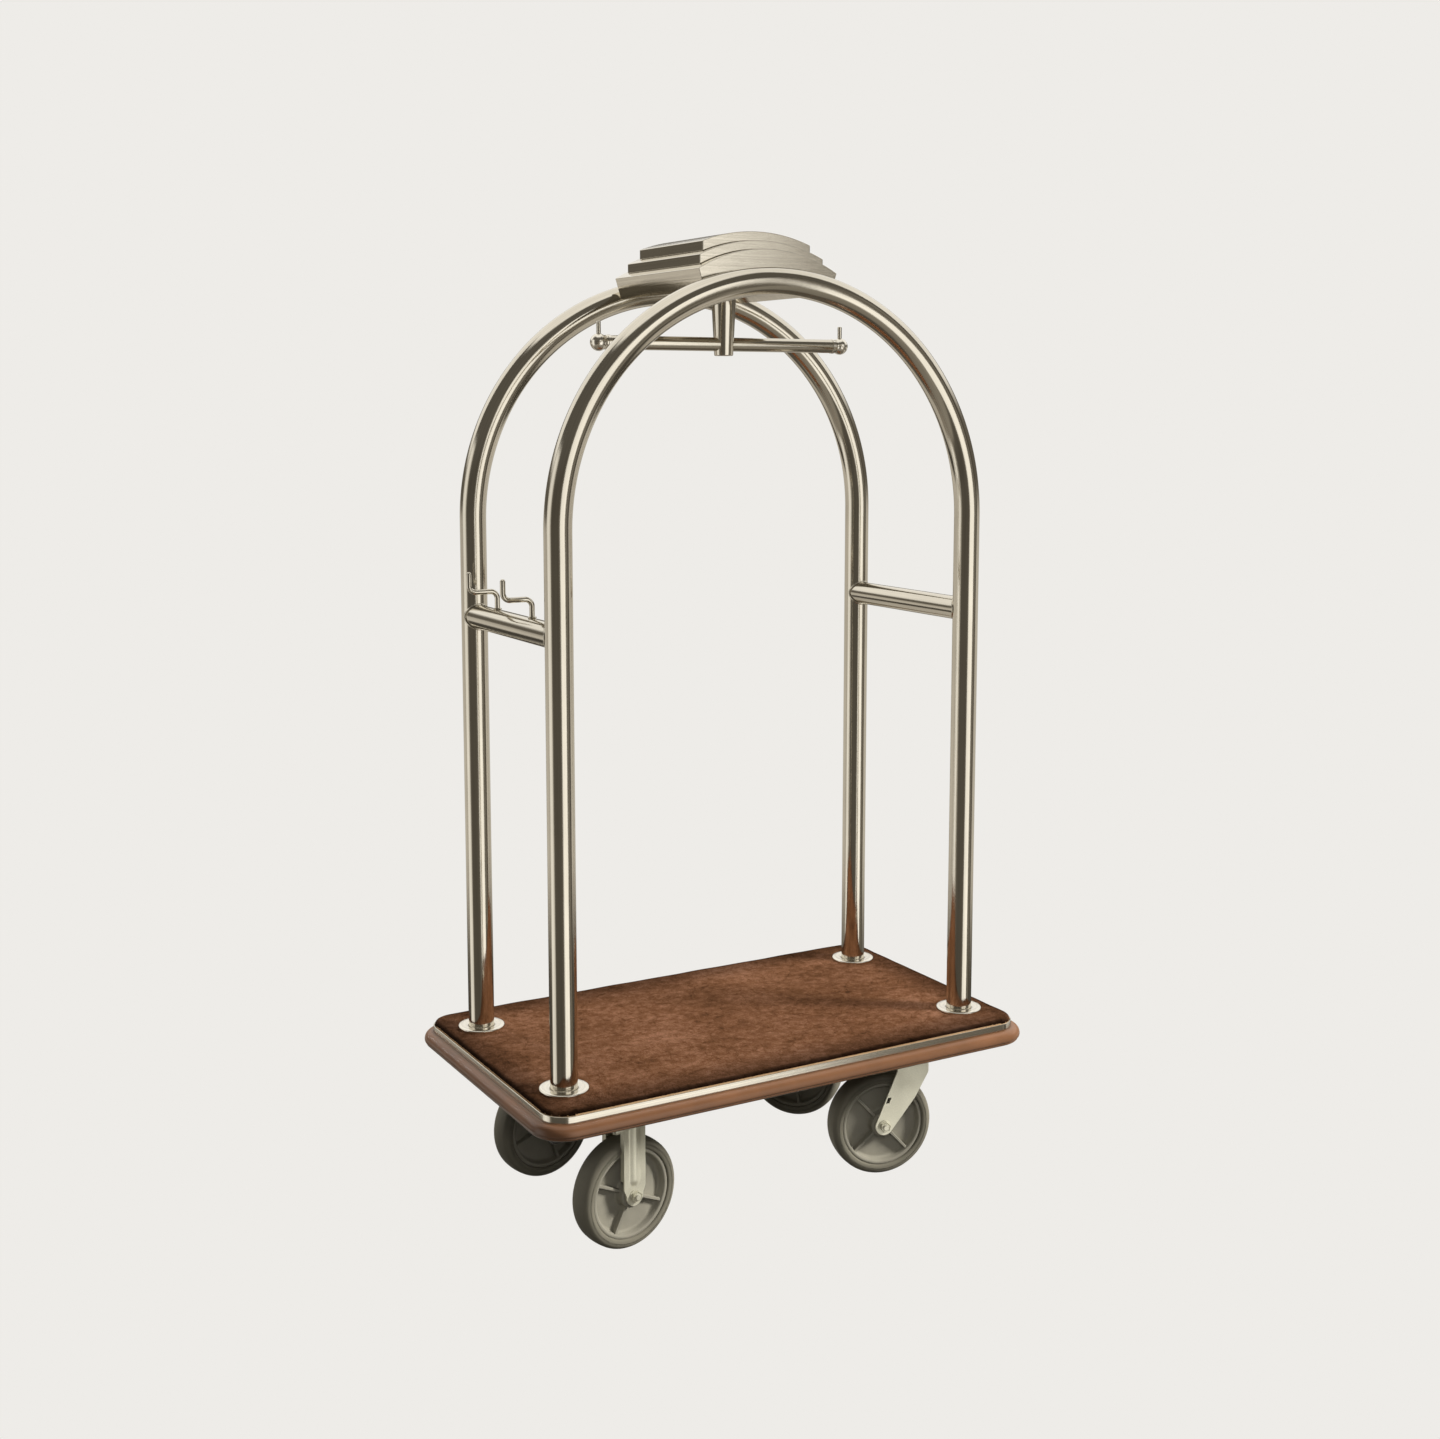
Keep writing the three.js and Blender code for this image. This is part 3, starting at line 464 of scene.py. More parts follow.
arch_low, arch_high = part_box("front_arch")
POST_X = arch_high.x - TUBE_RADIUS
POST_Y = middle("rear_arch").y
SPRING = arch_high.z - TUBE_RADIUS - POST_X
FOOT = arch_low.z
POSTS = ("front_left", "front_right", "rear_left", "rear_right")


def add_arch(name, y):
    bend = [
        Vector((-POST_X * math.cos(math.pi * i / 120), y, SPRING + POST_X * math.sin(math.pi * i / 120)))
        for i in range(121)
    ]
    leg_steps = 12
    up = [Vector((-POST_X, y, FOOT + (SPRING - FOOT) * i / leg_steps)) for i in range(leg_steps)]
    down = [Vector((POST_X, y, point.z)) for point in reversed(up)]
    points = [*up, *bend, *down]
    mesh = swept(name + "_tube", points, [TUBE_RADIUS] * len(points), 72)
    add(name + "_tube", mesh, STEEL, replaces=[name])


def saddle_point(side, angle, bar_radius, post_radius):
    """Where a line along a crossbar's surface meets the post, from the bar's middle."""
    across = bar_radius * math.cos(angle)
    return side * (POST_Y - math.sqrt(post_radius**2 - across**2))


def add_crossbar(name):
    centre = middle(name)
    radius = span(name).z / 2
    angles = full_turn(64)
    rings = []
    for share in (-1, -0.9, -0.5, 0, 0.5, 0.9, 1):
        ring = []
        for angle in angles:
            y = abs(share) * saddle_point(math.copysign(1, share), angle, radius, TUBE_RADIUS)
            ring.append(centre + Vector((radius * math.cos(angle), y, radius * math.sin(angle))))
        rings.append(ring)
    add(name + "_tube", skin(name + "_tube", rings, caps=False), STEEL, replaces=[name])
    for side, end in ((-1, "front"), (1, "rear")):
        bead = []
        reach = radius + 0.7 * MM
        for angle in angles:
            y = saddle_point(side, angle, reach, TUBE_RADIUS + 0.5 * MM)
            bead.append(centre + Vector((reach * math.cos(angle), y, reach * math.sin(angle))))
        add(f"{name}_weld_{end}", closed_rod(name, bead, 2.1 * MM), STEEL)


def add_hook(name):
    low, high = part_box(name)
    radius = span(name).y / 2
    x, y = high.x - radius, middle(name).y
    tip_x = low.x + radius
    run_z = middle("left_crossbar").z + 55 * MM
    bend = 13 * MM
    path = [(x, low.z - 2 * MM), (x, run_z - 2 * bend)]
    path += arc(x - bend, run_z - bend, bend, 0, 90, 12)
    path += arc(tip_x + bend, run_z + bend, bend, 270, 180, 12)
    path += [(tip_x, high.z - radius)]
    radii = [radius] * len(path)
    for step in range(1, 7):
        turn = math.radians(15 * step - 1)
        path.append((tip_x, high.z - radius + radius * math.sin(turn)))
        radii.append(radius * math.cos(turn))
    points = [Vector((a, y, b)) for a, b in path]
    add(name + "_rod", swept(name + "_rod", points, radii, 24), STEEL, replaces=[name])
    foot = [(x + 6 * MM * math.cos(t), y + 6 * MM * math.sin(t)) for t in full_turn(24)]
    foot = [Vector((a, b, low.z + 0.6 * MM)) for a, b in foot]
    add(name + "_weld", closed_rod(name, foot, 1.8 * MM, 8), STEEL)


def add_flange(post):
    node = "post_flange_" + post
    low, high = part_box(node)
    rim = span(node).x / 2
    bore = TUBE_RADIUS + 0.3 * MM
    profile = [(bore, low.z), (rim, low.z), (rim, high.z - 3.2 * MM)]
    profile += arc(rim - 2.4 * MM, high.z - 2.8 * MM, 2.4 * MM, 0, 80, 8)
    profile += [(rim - 9 * MM, high.z - 0.2 * MM), (bore + 5 * MM, high.z - 0.9 * MM)]
    profile += [(bore + 1.6 * MM, high.z - 0.4 * MM), (bore, high.z - 1.4 * MM)]
    centre = middle(node)
    place = Matrix.Translation((centre.x, centre.y, 0))
    mesh = lathe(node, profile, closed=True)
    add(node + "_ring", mesh, BRIGHT, replaces=[node], place=place, sharp=50)


def add_arches():
    add_arch("front_arch", -POST_Y)
    add_arch("rear_arch", POST_Y)
    for side in ("left", "right"):
        add_crossbar(side + "_crossbar")
    for end in ("front", "rear"):
        add_hook(end + "_coat_hook")
    for post in POSTS:
        add_flange(post)


# ---- Crown and hanger ----

LOWER_TIER_RADII = (284 * MM, 244.5 * MM)
MIDDLE_TIER_RADII = (300 * MM, 284.2 * MM)
UPPER_TIER_RADII = (317 * MM, 300.2 * MM)
CROWN_UNDERCUT = 12 * MM
CROWN_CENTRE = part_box("crown_upper_tier")[1].z - UPPER_TIER_RADII[0]


def add_crown_tier(name, radii, undercut=0.0):
    """A curved steel box. Its ends lean in by the undercut towards their lower edges."""
    outer, inner = radii
    half_length, half_width = span(name).x / 2, span(name).y / 2
    steps = 48

    def curve(radius, reach):
        end = math.asin(reach / radius)
        turns = [end * (2 * i / steps - 1) for i in range(steps + 1)]
        return [(radius * math.sin(t), CROWN_CENTRE + radius * math.cos(t)) for t in turns]

    outline = curve(outer, half_length) + curve(inner, half_length - undercut)[::-1]
    mesh = prism(name + "_shell", outline, -half_width, half_width)
    for polygon in mesh.polygons:
        if abs(polygon.normal.x) > 0.9:
            layer = mesh.uv_layers[GRAIN].data
            for loop in polygon.loop_indices:
                point = mesh.vertices[mesh.loops[loop].vertex_index].co
                layer[loop].uv = (point.y, point.z)
    add(name + "_shell", mesh, STEEL, replaces=[name], sharp=30, bevel=1.3 * MM)


def add_hanger():
    low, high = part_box("hanger_post")
    shoulder = high.z - 58 * MM
    top_radius, foot_radius = span("hanger_post").x / 2, 17.5 * MM
    stud_foot = high.z - 16 * MM
    profile = [(0.5 * MM, low.z)]
    profile += arc(foot_radius - 2 * MM, low.z + 2 * MM, 2 * MM, 270, 360, 6)
    profile += [(top_radius, shoulder), (top_radius, stud_foot), (0.5 * MM, stud_foot)]
    mesh = lathe("hanger_post_body", profile)
    for loop in mesh.uv_layers[GRAIN].data:
        loop.uv = (loop.uv[1], loop.uv[0])
    add("hanger_post_body", mesh, STEEL, replaces=["hanger_post"], sharp=50)

    bar_low, bar_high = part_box("hanger_bar")
    z, radius = middle("hanger_bar").z, span("hanger_bar").z / 2
    points = [Vector((bar_low.x + (bar_high.x - bar_low.x) * i / 20, 0, z)) for i in range(21)]
    mesh = swept("hanger_bar_tube", points, [radius] * 21, 48)
    add("hanger_bar_tube", mesh, STEEL, replaces=["hanger_bar"])
    for side, sign in (("left", -1), ("right", 1)):
        add_finial("hanger_finial_" + side, sign, z, radius)


def add_finial(name, sign, z, bar_radius):
    low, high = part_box(name)
    ball = span(name).y / 2
    x = (high.x if sign > 0 else low.x) - sign * ball
    neck = bar_radius + 0.9 * MM
    start = math.degrees(math.asin(neck / ball))
    profile = [(neck - 1 * MM, -22 * MM), (neck, -21 * MM), (neck, -15.5 * MM)]
    profile.append((neck - 1.2 * MM, -14.4 * MM))
    profile += [(r, d) for d, r in arc(0, 0, ball, 180 - start + 8, 2, 24)]
    turn = Matrix.Rotation(math.radians(90 * sign), 4, "Y")
    place = Matrix.Translation((x, 0, z)) @ turn
    add(name + "_ball", lathe(name, profile, 48), BRIGHT, replaces=[name], place=place)
    pin = 4 * MM
    rod = [(0.5 * MM, 0), (pin, 0), (pin, high.z - z - 1.2 * MM)]
    rod += arc(pin - 1.2 * MM, high.z - z - 1.2 * MM, 1.2 * MM, 0, 90, 5) + [(0.3 * MM, high.z - z)]
    add(name + "_pin", lathe(name, rod, 24), BRIGHT, place=Matrix.Translation((x, 0, z)))


def add_crown_and_hanger():
    add_crown_tier("crown_lower_tier", LOWER_TIER_RADII, CROWN_UNDERCUT)
    add_crown_tier("crown_middle_tier", MIDDLE_TIER_RADII)
    add_crown_tier("crown_upper_tier", UPPER_TIER_RADII)
    add_hanger()


# ---- Deck ----

DECK_HALF_LENGTH, DECK_HALF_WIDTH, DECK_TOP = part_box("deck_carpet")[1]
DECK_CORNER = 44.7 * MM


def edge_ring(name, section):
    """A section of (outwards, height) carried round the deck's outline."""
    steps = 20
    rings = []
    for quarter, (sign_x, sign_y) in enumerate(((1, 1), (-1, 1), (-1, -1), (1, -1))):
        centre_x = sign_x * (DECK_HALF_LENGTH - DECK_CORNER)
        centre_y = sign_y * (DECK_HALF_WIDTH - DECK_CORNER)
        for i in range(steps + 1):
            turn = math.radians(90) * (quarter + i / steps)
            ring = []
            for out, height in section:
                reach = DECK_CORNER + out
                x, y = centre_x + reach * math.cos(turn), centre_y + reach * math.sin(turn)
                ring.append(Vector((x, y, height)))
            rings.append(ring)
    return skin(name, rings, along=True)


def add_carpet():
    """Rows and columns over the deck's outline, with the edge rolled over and a lumpy pile."""
    roll = 7.5 * MM
    edge_steps = [0.0, 0.2, 0.6, 1.2, 2.0, 3.2, 4.6, 6.2, 8.0]
    inner = 150

    def lines(half):
        start = edge_steps[-1] * MM
        near = [step * MM for step in edge_steps]
        far = [start + (half - start) * i / inner for i in range(1, inner + 1)]
        left = [-half + gap for gap in near + far]
        return left + [-value for value in reversed(left[:-1])]

    flanges = [middle("post_flange_" + post) for post in POSTS]
    straight = DECK_HALF_WIDTH - DECK_CORNER
    columns, rows = lines(1.0), lines(DECK_HALF_WIDTH)
    verts, faces = [], []
    for y in rows:
        past = max(0.0, abs(y) - straight)
        reach = DECK_HALF_LENGTH - DECK_CORNER + math.sqrt(max(0.0, DECK_CORNER**2 - past**2))
        for share in columns:
            margin = (1 - abs(share)) / MM
            x = math.copysign(DECK_HALF_LENGTH, share)
            if margin <= edge_steps[-1]:
                x = math.copysign(reach - margin * MM, share)
            else:
                x = share * (reach - edge_steps[-1] * MM) / (1 - edge_steps[-1] * MM)
            corner_x = abs(x) - (DECK_HALF_LENGTH - DECK_CORNER)
            corner_y = abs(y) - straight
            if corner_x > 0 and corner_y > 0:
                gap = DECK_CORNER - math.hypot(corner_x, corner_y)
            else:
                gap = min(DECK_HALF_LENGTH - abs(x), DECK_HALF_WIDTH - abs(y))
            short = 1 - min(max(gap, 0.0), roll) / roll
            drop = roll * (1 - math.sqrt(max(0.0, 1 - short**2)))
            lumps = math.sin(x * 61 + 3 * math.sin(y * 47)) + math.sin(y * 83 + x * 29)
            lift = (0.35 * lumps - 0.7) * MM * min(1, gap / roll)
            verts.append(Vector((x, y, DECK_TOP - drop + lift)))
    count = len(columns)
    for i in range(len(rows) - 1):
        for j in range(count - 1):
            face = (i * count + j, i * count + j + 1, (i + 1) * count + j + 1, (i + 1) * count + j)
            centre = sum((verts[k] for k in face), Vector()) / 4
            if all((centre - flange).to_2d().length > 42 * MM for flange in flanges):
                faces.append(face)
    mesh = bpy.data.meshes.new("carpet_pile")
    mesh.from_pydata(verts, [], faces)
    mesh.uv_layers.new(name=GRAIN)
    piece = add("carpet_pile", mesh, CARPET, replaces=["deck_carpet"], sharp=0)
    shell = piece.modifiers.new("backing", "SOLIDIFY")
    shell.thickness = 0.6 * MM


def add_deck_edge():
    trim_low, trim_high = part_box("deck_trim_band")
    out = trim_high.x - DECK_HALF_LENGTH
    inner = 0.4 * MM
    lip = (out - inner) / 2
    trim = [(inner, trim_low.z), (out, trim_low.z)]
    trim += arc(out - lip, trim_high.z - lip, lip, 0, 180, 8)
    mesh = edge_ring("trim_band", trim)
    add("trim_band", mesh, STEEL, replaces=["deck_trim_band"], sharp=50)

    low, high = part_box("deck_bumper")
    back = out + 0.3 * MM
    proud = high.x - DECK_HALF_LENGTH
    half = (high.z - low.z) / 2
    z = (high.z + low.z) / 2
    section = [(back, low.z), (proud - half, low.z)]
    for degree in range(-85, 90, 5):
        dip = 1.7 * MM * math.exp(-(((degree + 30) / 7) ** 2))
        section += arc(proud - half, z, half - dip, degree, degree, 1)[:1]
    section += [(proud - half, high.z), (back, high.z)]
    add("bumper_strip", edge_ring("bumper_strip", section), BUMPER, replaces=["deck_bumper"], sharp=50)


# ---- Frame below the deck ----


def rounded_rectangle(low_a, high_a, low_b, high_b, radius):
    near_a, far_a = low_a + radius, high_a - radius
    near_b, far_b = low_b + radius, high_b - radius
    return (
        arc(far_a, far_b, radius, 0, 90, 4)
        + arc(near_a, far_b, radius, 90, 180, 4)
        + arc(near_a, near_b, radius, 180, 270, 4)
        + arc(far_a, near_b, radius, 270, 360, 4)
    )


def add_rail(node, along, across):
    """A square tube, with the numbers of the axes along and across it."""
    low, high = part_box(node)
    outline = rounded_rectangle(low[across], high[across], low.z, high.z, 3 * MM)
    mesh = prism(node + "_tube", outline, low[along], high[along], axis="XY"[along])
    add(node + "_tube", mesh, FRAME_PAINT, replaces=[node], sharp=40)


def add_channel(node):
    low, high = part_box(node)
    wall, bend = 4 * MM, 5 * MM
    left, right = low.x, high.x
    outline = arc(left + bend, low.z + bend, bend, 180, 270, 5)
    outline += arc(right - bend, low.z + bend, bend, 270, 360, 5)
    outline += [(right, high.z), (right - wall, high.z)]
    outline += arc(right - bend, low.z + bend, bend - wall, 360, 270, 3)
    outline += arc(left + bend, low.z + bend, bend - wall, 270, 180, 3)
    outline += [(left + wall, high.z), (left, high.z)]
    mesh = prism(node + "_pressing", outline, low.y, high.y)
    add(node + "_pressing", mesh, FRAME_PAINT, replaces=[node], sharp=40)


def add_underframe():
    for side in ("front", "rear"):
        add_rail("side_rail_" + side, 0, 1)
    for end in ("left", "right"):
        add_rail("end_rail_" + end, 1, 0)
    for end in ("left", "right"):
        add_channel("caster_channel_" + end)
    board = frame["nodes"]["deck_board"].data.materials
    board.clear()
    board.append(PLYWOOD)


# ---- Fasteners ----


def bolt_head(name, radius, height):
    """A hexagon with its top corners turned off, standing on z = 0."""
    mesh = prism(name, arc(0, 0, radius, 0, 300, 5), 0, height, axis="Z")
    edit = bmesh.new()
    edit.from_mesh(mesh)
    corners = [vert for vert in edit.verts if vert.co.z > height / 2]
    flats = radius * math.cos(math.radians(30))
    bmesh.ops.inset_region(
        edit,
        faces=[face for face in edit.faces if all(vert in corners for vert in face.verts)],
        thickness=(radius - flats) * 0.9,
        depth=0,
    )
    for vert in corners:
        vert.co.z -= radius * 0.14
    edit.to_mesh(mesh)
    edit.free()
    return mesh


def upright_along(point, direction):
    """A matrix that carries the Z axis to a direction, with its foot at a point."""
    return Matrix.Translation(point) @ Vector(direction).to_track_quat("Z", "Y").to_matrix().to_4x4()


def add_washer(name, radius, bore, thickness, place, body):
    profile = [(bore, 0), (radius, 0), (radius, thickness * 0.7), (radius - 0.4 * MM, thickness)]
    profile += [(bore + 0.2 * MM, thickness), (bore, thickness * 0.8)]
    add(name, lathe(name, profile, 40, closed=True), ZINC, body, place=place)


def threaded_end(name, radius, length):
    """A bolt's end that stands on z = 0, with turned grooves for its thread."""
    pitch = 1.5 * MM
    profile = [(0.3 * MM, 0), (radius - 0.5 * MM, 0)]
    for k in range(int(length / pitch)):
        profile += [(radius, (k + 0.35) * pitch), (radius, (k + 0.55) * pitch)]
        profile += [(radius - 0.8 * MM, (k + 0.95) * pitch)]
    profile += [(radius - 1.2 * MM, length), (0.3 * MM, length)]
    return lathe(name, profile, 32)


def add_post_bolts():
    for post in POSTS:
        node = "post_bolt_" + post
        centre = middle(node)
        seat = Vector((centre.x, centre.y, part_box(node)[0].z + 7.5 * MM))
        down = upright_along(seat - Vector((0, 0, 1.2 * MM)), (0, 0, -1))
        head = bolt_head(node + "_head", 10.5 * MM, 6.3 * MM)
        add(node + "_head", head, ZINC, replaces=[node], place=down, bevel=0.3 * MM)
        washer_place = upright_along(seat, (0, 0, -1))
        add_washer(node + "_washer", 14 * MM, 6.2 * MM, 1.2 * MM, washer_place, "cart")


# ---- Wheels ----


def joint_of(body):
    return next(joint for joint in frame["joints"] if joint["child"] == body)


def tyre_mesh(name, radius):
    """Rubber ring: crowned tread, round shoulders and a stepped inner edge."""
    half, bore = 24.5 * MM, 81.7 * MM
    shoulder = 12 * MM
    side = [(bore, half - 3 * MM), (bore + 1.2 * MM, half - 1.2 * MM), (bore + 3 * MM, half - 0.6 * MM)]
    side += [(bore + 5 * MM, half), (bore + 9 * MM, half)]
    tread = radius - 0.9 * MM
    side += [(r, w) for w, r in arc(half - shoulder, tread - shoulder, shoulder, 0, 84, 14)]
    side += [(radius - 0.3 * MM, half * 0.3), (radius, 0)]
    other = [(r, -w) for r, w in reversed(side[:-1])]
    return lathe(name, side + other, 128, closed=True, axis="Y")


def core_mesh(name):
    """Moulded wheel centre: rim, recessed disc and hub, without its spokes."""
    bore = 10.3 * MM
    disc = 7 * MM
    side = [(bore, 27 * MM), (bore + 1 * MM, 27.2 * MM), (16.5 * MM, 27.2 * MM)]
    side += [(17.5 * MM, 26.2 * MM), (22.0 * MM, 26.2 * MM)]
    side += [(23.5 * MM, 25 * MM), (24.5 * MM, disc + 4 * MM)]
    side += arc(28.5 * MM, disc + 4 * MM, 4 * MM, 180, 270, 6)
    side.append((50 * MM, disc + 0.8 * MM))
    side += arc(68.5 * MM, disc + 5 * MM, 5 * MM, 270, 350, 6)
    side += [(74.6 * MM, 19.5 * MM), (75.6 * MM, 20.6 * MM), (77.3 * MM, 21.2 * MM)]
    side += [(80.2 * MM, 21.2 * MM), (81.4 * MM, 20.2 * MM)]
    other = [(r, -w) for r, w in reversed(side)]
    return lathe(name, side + other, 96, closed=True, axis="Y")


def spoke_mesh(name, side):
    """One upright rib from the hub to the rim, on one face of the wheel."""
    outline = [(20 * MM, side * 5 * MM), (20 * MM, side * 21 * MM), (26 * MM, side * 20.5 * MM)]
    outline += [(68 * MM, side * 17.5 * MM), (76 * MM, side * 18.5 * MM), (76 * MM, side * 5 * MM)]
    return prism(name, outline, -2.7 * MM, 2.7 * MM, axis="Z")


def add_wheel(name, body, spoke_angle):
    joint = joint_of(body)
    axle = Vector(joint["pos_m"])
    yaw = math.atan2(-joint["axis"][0], joint["axis"][1])
    place = Matrix.Translation(axle) @ Matrix.Rotation(yaw, 4, "Z")
    radius = span(name + "_tyre").z / 2
    tyre = tyre_mesh(name + "_tread", radius)
    add(name + "_tread", tyre, TYRE, body, [name + "_tyre"], place, sharp=60)
    core = core_mesh(name + "_wheel_disc")
    add(name + "_wheel_disc", core, CORE, body, [name + "_wheel_core"], place, sharp=45)
    for quarter in range(4):
        angle = spoke_angle + 90 * quarter
        turn = Matrix.Rotation(math.radians(-angle), 4, "Y")
        for side, face in ((-1, "front"), (1, "rear")):
            spoke = f"{name}_spoke_{face}_{quarter}"
            add(spoke, spoke_mesh(spoke, side), CORE, body, place=place @ turn, bevel=1.2 * MM)
    inner, outer, end = 6.6 * MM, 10 * MM, 27 * MM
    profile = [(inner, -end), (outer, -end), (outer, end), (inner, end)]
    bearing = lathe(name + "_bearing_sleeve", profile, 40, closed=True, axis="Y")
    add(name + "_bearing_sleeve", bearing, ZINC, body, [name + "_wheel_bearing"], place)
    return place


# ---- Casters ----

LEG_INNER = 28.6 * MM
LEG_THICKNESS = 4 * MM
FOOT_RADIUS = 18 * MM  # round the axle, at the foot of every leg
PLATE_THICKNESS = 4.8 * MM
FORK_NEAR = 22 * MM  # from the kingpin to the fork's edge on the axle's side
FORK_FAR = 42 * MM  # and to the edge on the other side
AXLE_HEIGHT = joint_of("front_left_wheel")["pos_m"][2]


def pressed_leg(name, side, top, half_width):
    """A flat leg with a rounded foot and a rib pressed out of it, as one sheet with thickness."""
    rows, columns = 70, 40
    bead, proud = 13 * MM, 5.2 * MM
    bead_foot = FOOT_RADIUS + bead
    heights = [-FOOT_RADIUS + (top + FOOT_RADIUS) * i / rows for i in range(rows + 1)]
    heights += [FOOT_RADIUS * math.sin(math.radians(degrees)) for degrees in range(-90, 91, 9)]
    heights = sorted(set(heights))
    lines = []
    for z in heights:
        if z <= 0:
            reach = math.sqrt(max(FOOT_RADIUS**2 - z**2, 1e-10))
        else:
            share = min(1.0, z / FOOT_RADIUS)
            reach = FOOT_RADIUS + (half_width - FOOT_RADIUS) * share * share * (3 - 2 * share)
        line = []
        for j in range(columns + 1):
            x = reach * (2 * j / columns - 1)
            away = math.hypot(x, min(0.0, z - bead_foot))
            rise = max(0.0, 1 - away / bead)
            swell = proud * (rise * rise * (3 - 2 * rise)) ** 0.7
            line.append((x, z, swell))
        lines.append(line)
    sheets = [
        [[Vector((x, side * (offset + swell), z)) for x, z, swell in line] for line in lines]
        for offset in (LEG_INNER, LEG_INNER + LEG_THICKNESS)
    ]
    rings = [inner + outer[::-1] for inner, outer in zip(*sheets)]
    mesh = skin(name, rings)
    brush(mesh, Vector((0, 0, 1)))
    return mesh


def add_axle(name, body, place, outboard):
    """The nut and the bolt's end are outboard, the bolt's head inboard, each on a washer."""
    face = LEG_INNER + LEG_THICKNESS
    for side, part in ((outboard, "nut"), (-outboard, "head")):
        seat = place @ upright_along((0, side * (face + 0.2 * MM), 0), (0, side, 0))
        add_washer(f"{name}_axle_washer_{part}", 12.2 * MM, 6.2 * MM, 1.4 * MM, seat, body)
        seat = seat @ Matrix.Translation((0, 0, 1.4 * MM)) @ Matrix.Rotation(math.radians(17), 4, "Z")
        node = name + ("_axle_nut" if part == "nut" else "_axle_bolt")
        mesh = bolt_head(node, 10.2 * MM, 6.6 * MM)
        add(node + "_hex", mesh, ZINC, body, [node], seat, bevel=0.35 * MM)
        if part == "nut":
            end = threaded_end(name + "_axle_end", 5.8 * MM, 9.4 * MM)
            add(name + "_axle_end", end, ZINC, body, place=seat)
    shaft = [(0.5 * MM, -face), (6 * MM, -face), (6 * MM, face), (0.5 * MM, face)]
    add(name + "_axle_shaft", lathe(name, shaft, 32, axis="Y"), ZINC, body, place=place)


def add_plate(name, node, place, top):
    """The plate, and four hexagon heads below its corners that hold it to the channel."""
    low = top - PLATE_THICKNESS
    outline = rounded_rectangle(-57 * MM, 57 * MM, -51 * MM, 51 * MM, 7 * MM)
    mesh = prism(name + "_plate", outline, low, top, axis="Z")
    add(name + "_plate", mesh, ZINC, replaces=[node], place=place, bevel=0.5 * MM)
    for k, (a, b) in enumerate(((-1, -1), (-1, 1), (1, -1), (1, 1))):
        seat = place @ upright_along((a * 44 * MM, b * 38 * MM, low), (0, 0, -1))
        add_washer(f"{name}_plate_washer_{k}", 9.5 * MM, 4.2 * MM, 1.2 * MM, seat, "cart")
        head = bolt_head(f"{name}_plate_bolt_{k}", 7.6 * MM, 5 * MM)
        seat = seat @ Matrix.Translation((0, 0, 1.2 * MM))
        add(f"{name}_plate_bolt_{k}", head, ZINC, place=seat, bevel=0.3 * MM)


def add_rigid_caster(name, outboard, spoke_angle):
    node = name + "_caster_frame"
    place = add_wheel(name, name + "_wheel", spoke_angle)
    leg_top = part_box(node)[1].z - PLATE_THICKNESS - AXLE_HEIGHT
    add_plate(name, node, place, leg_top + PLATE_THICKNESS)
    half_width = 23.5 * MM
    for side, word in ((-1, "front"), (1, "rear")):
        leg = pressed_leg(f"{name}_leg_{word}", side, leg_top, half_width)
        add(f"{name}_leg_{word}", leg, ZINC, place=place, sharp=50)
        for edge in (-1, 1):
            fold_name = f"{name}_fold_{word}_{'left' if edge < 0 else 'right'}"
            near, far = sorted((side * LEG_INNER, side * (LEG_INNER - 7 * MM)))
            outline = rounded_rectangle(near, far, 30 * MM, leg_top, 2 * MM)
            inner, outer = sorted((edge * (half_width - 3 * MM), edge * half_width))
            fold = prism(fold_name, outline, inner, outer, axis="X", along=(0, 0, 1))
            add(fold_name, fold, ZINC, place=place, bevel=0.6 * MM)
    add_axle(name, "cart", place, outboard)


def swivel_outline(trail, top):
    """One slanted side of the fork and its hole, with the axle at the origin: (x, z) pairs."""
    near, far = trail - FORK_NEAR, trail + FORK_FAR
    heel_x, heel_z, knee_z = -16.3 * MM, 7.6 * MM, 108 * MM
    slope = (near - heel_x) / (knee_z - heel_z)

    def edge(z):
        return heel_x + slope * (z - heel_z)

    outline = arc(0, 0, FOOT_RADIUS, 155, 324, 20)
    outline.append((trail + 15 * MM, 52 * MM))
    outline += arc(trail + 30 * MM, 104 * MM, 12 * MM, -28, 0, 3)
    outline += [(far, top), (near, top), (edge(knee_z), knee_z)]
    corners = ((3, 45), (10, 45), (10, 56), (3, 56))
    hole = [(edge(height * MM) + gap * MM, height * MM) for gap, height in corners]
    return outline, hole


def fold_outline(trail, top):
    """The rim along the fork's far edge, as seen from the side: (x, z) pairs."""
    x = trail + FORK_FAR
    rim = [(x, top), (x, 104 * MM), (x - 2.5 * MM, 98 * MM), (trail + 15.5 * MM, 53 * MM)]
    rim += [(trail + 11.5 * MM, 54 * MM), (x - 6.5 * MM, 99 * MM)]
    return rim + [(x - 4 * MM, 105 * MM), (x - 4 * MM, top)]


def add_race_and_kingpin(name, pivot, foot, upper):
    """The ball race from the fork's top up to the plate, and the kingpin's head below it."""
    profile = [(10 * MM, foot), (25 * MM, foot)]
    profile += arc(29 * MM, foot + 2.6 * MM, 2.6 * MM, -120, 60, 8)
    profile += [(29 * MM, upper), (10 * MM, upper)]
    race = lathe(name + "_race", profile, 72, closed=True)
    place = Matrix.Translation((pivot.x, pivot.y, 0))
    add(name + "_race", race, ZINC, place=place, sharp=40)
    kingpin = name + "_kingpin"
    seat = upright_along((pivot.x, pivot.y, foot - 5.2 * MM), (0, 0, -1))
    head = bolt_head(kingpin, 13 * MM, 6 * MM)
    add(kingpin + "_head", head, ZINC, replaces=[kingpin], place=seat, bevel=0.4 * MM)


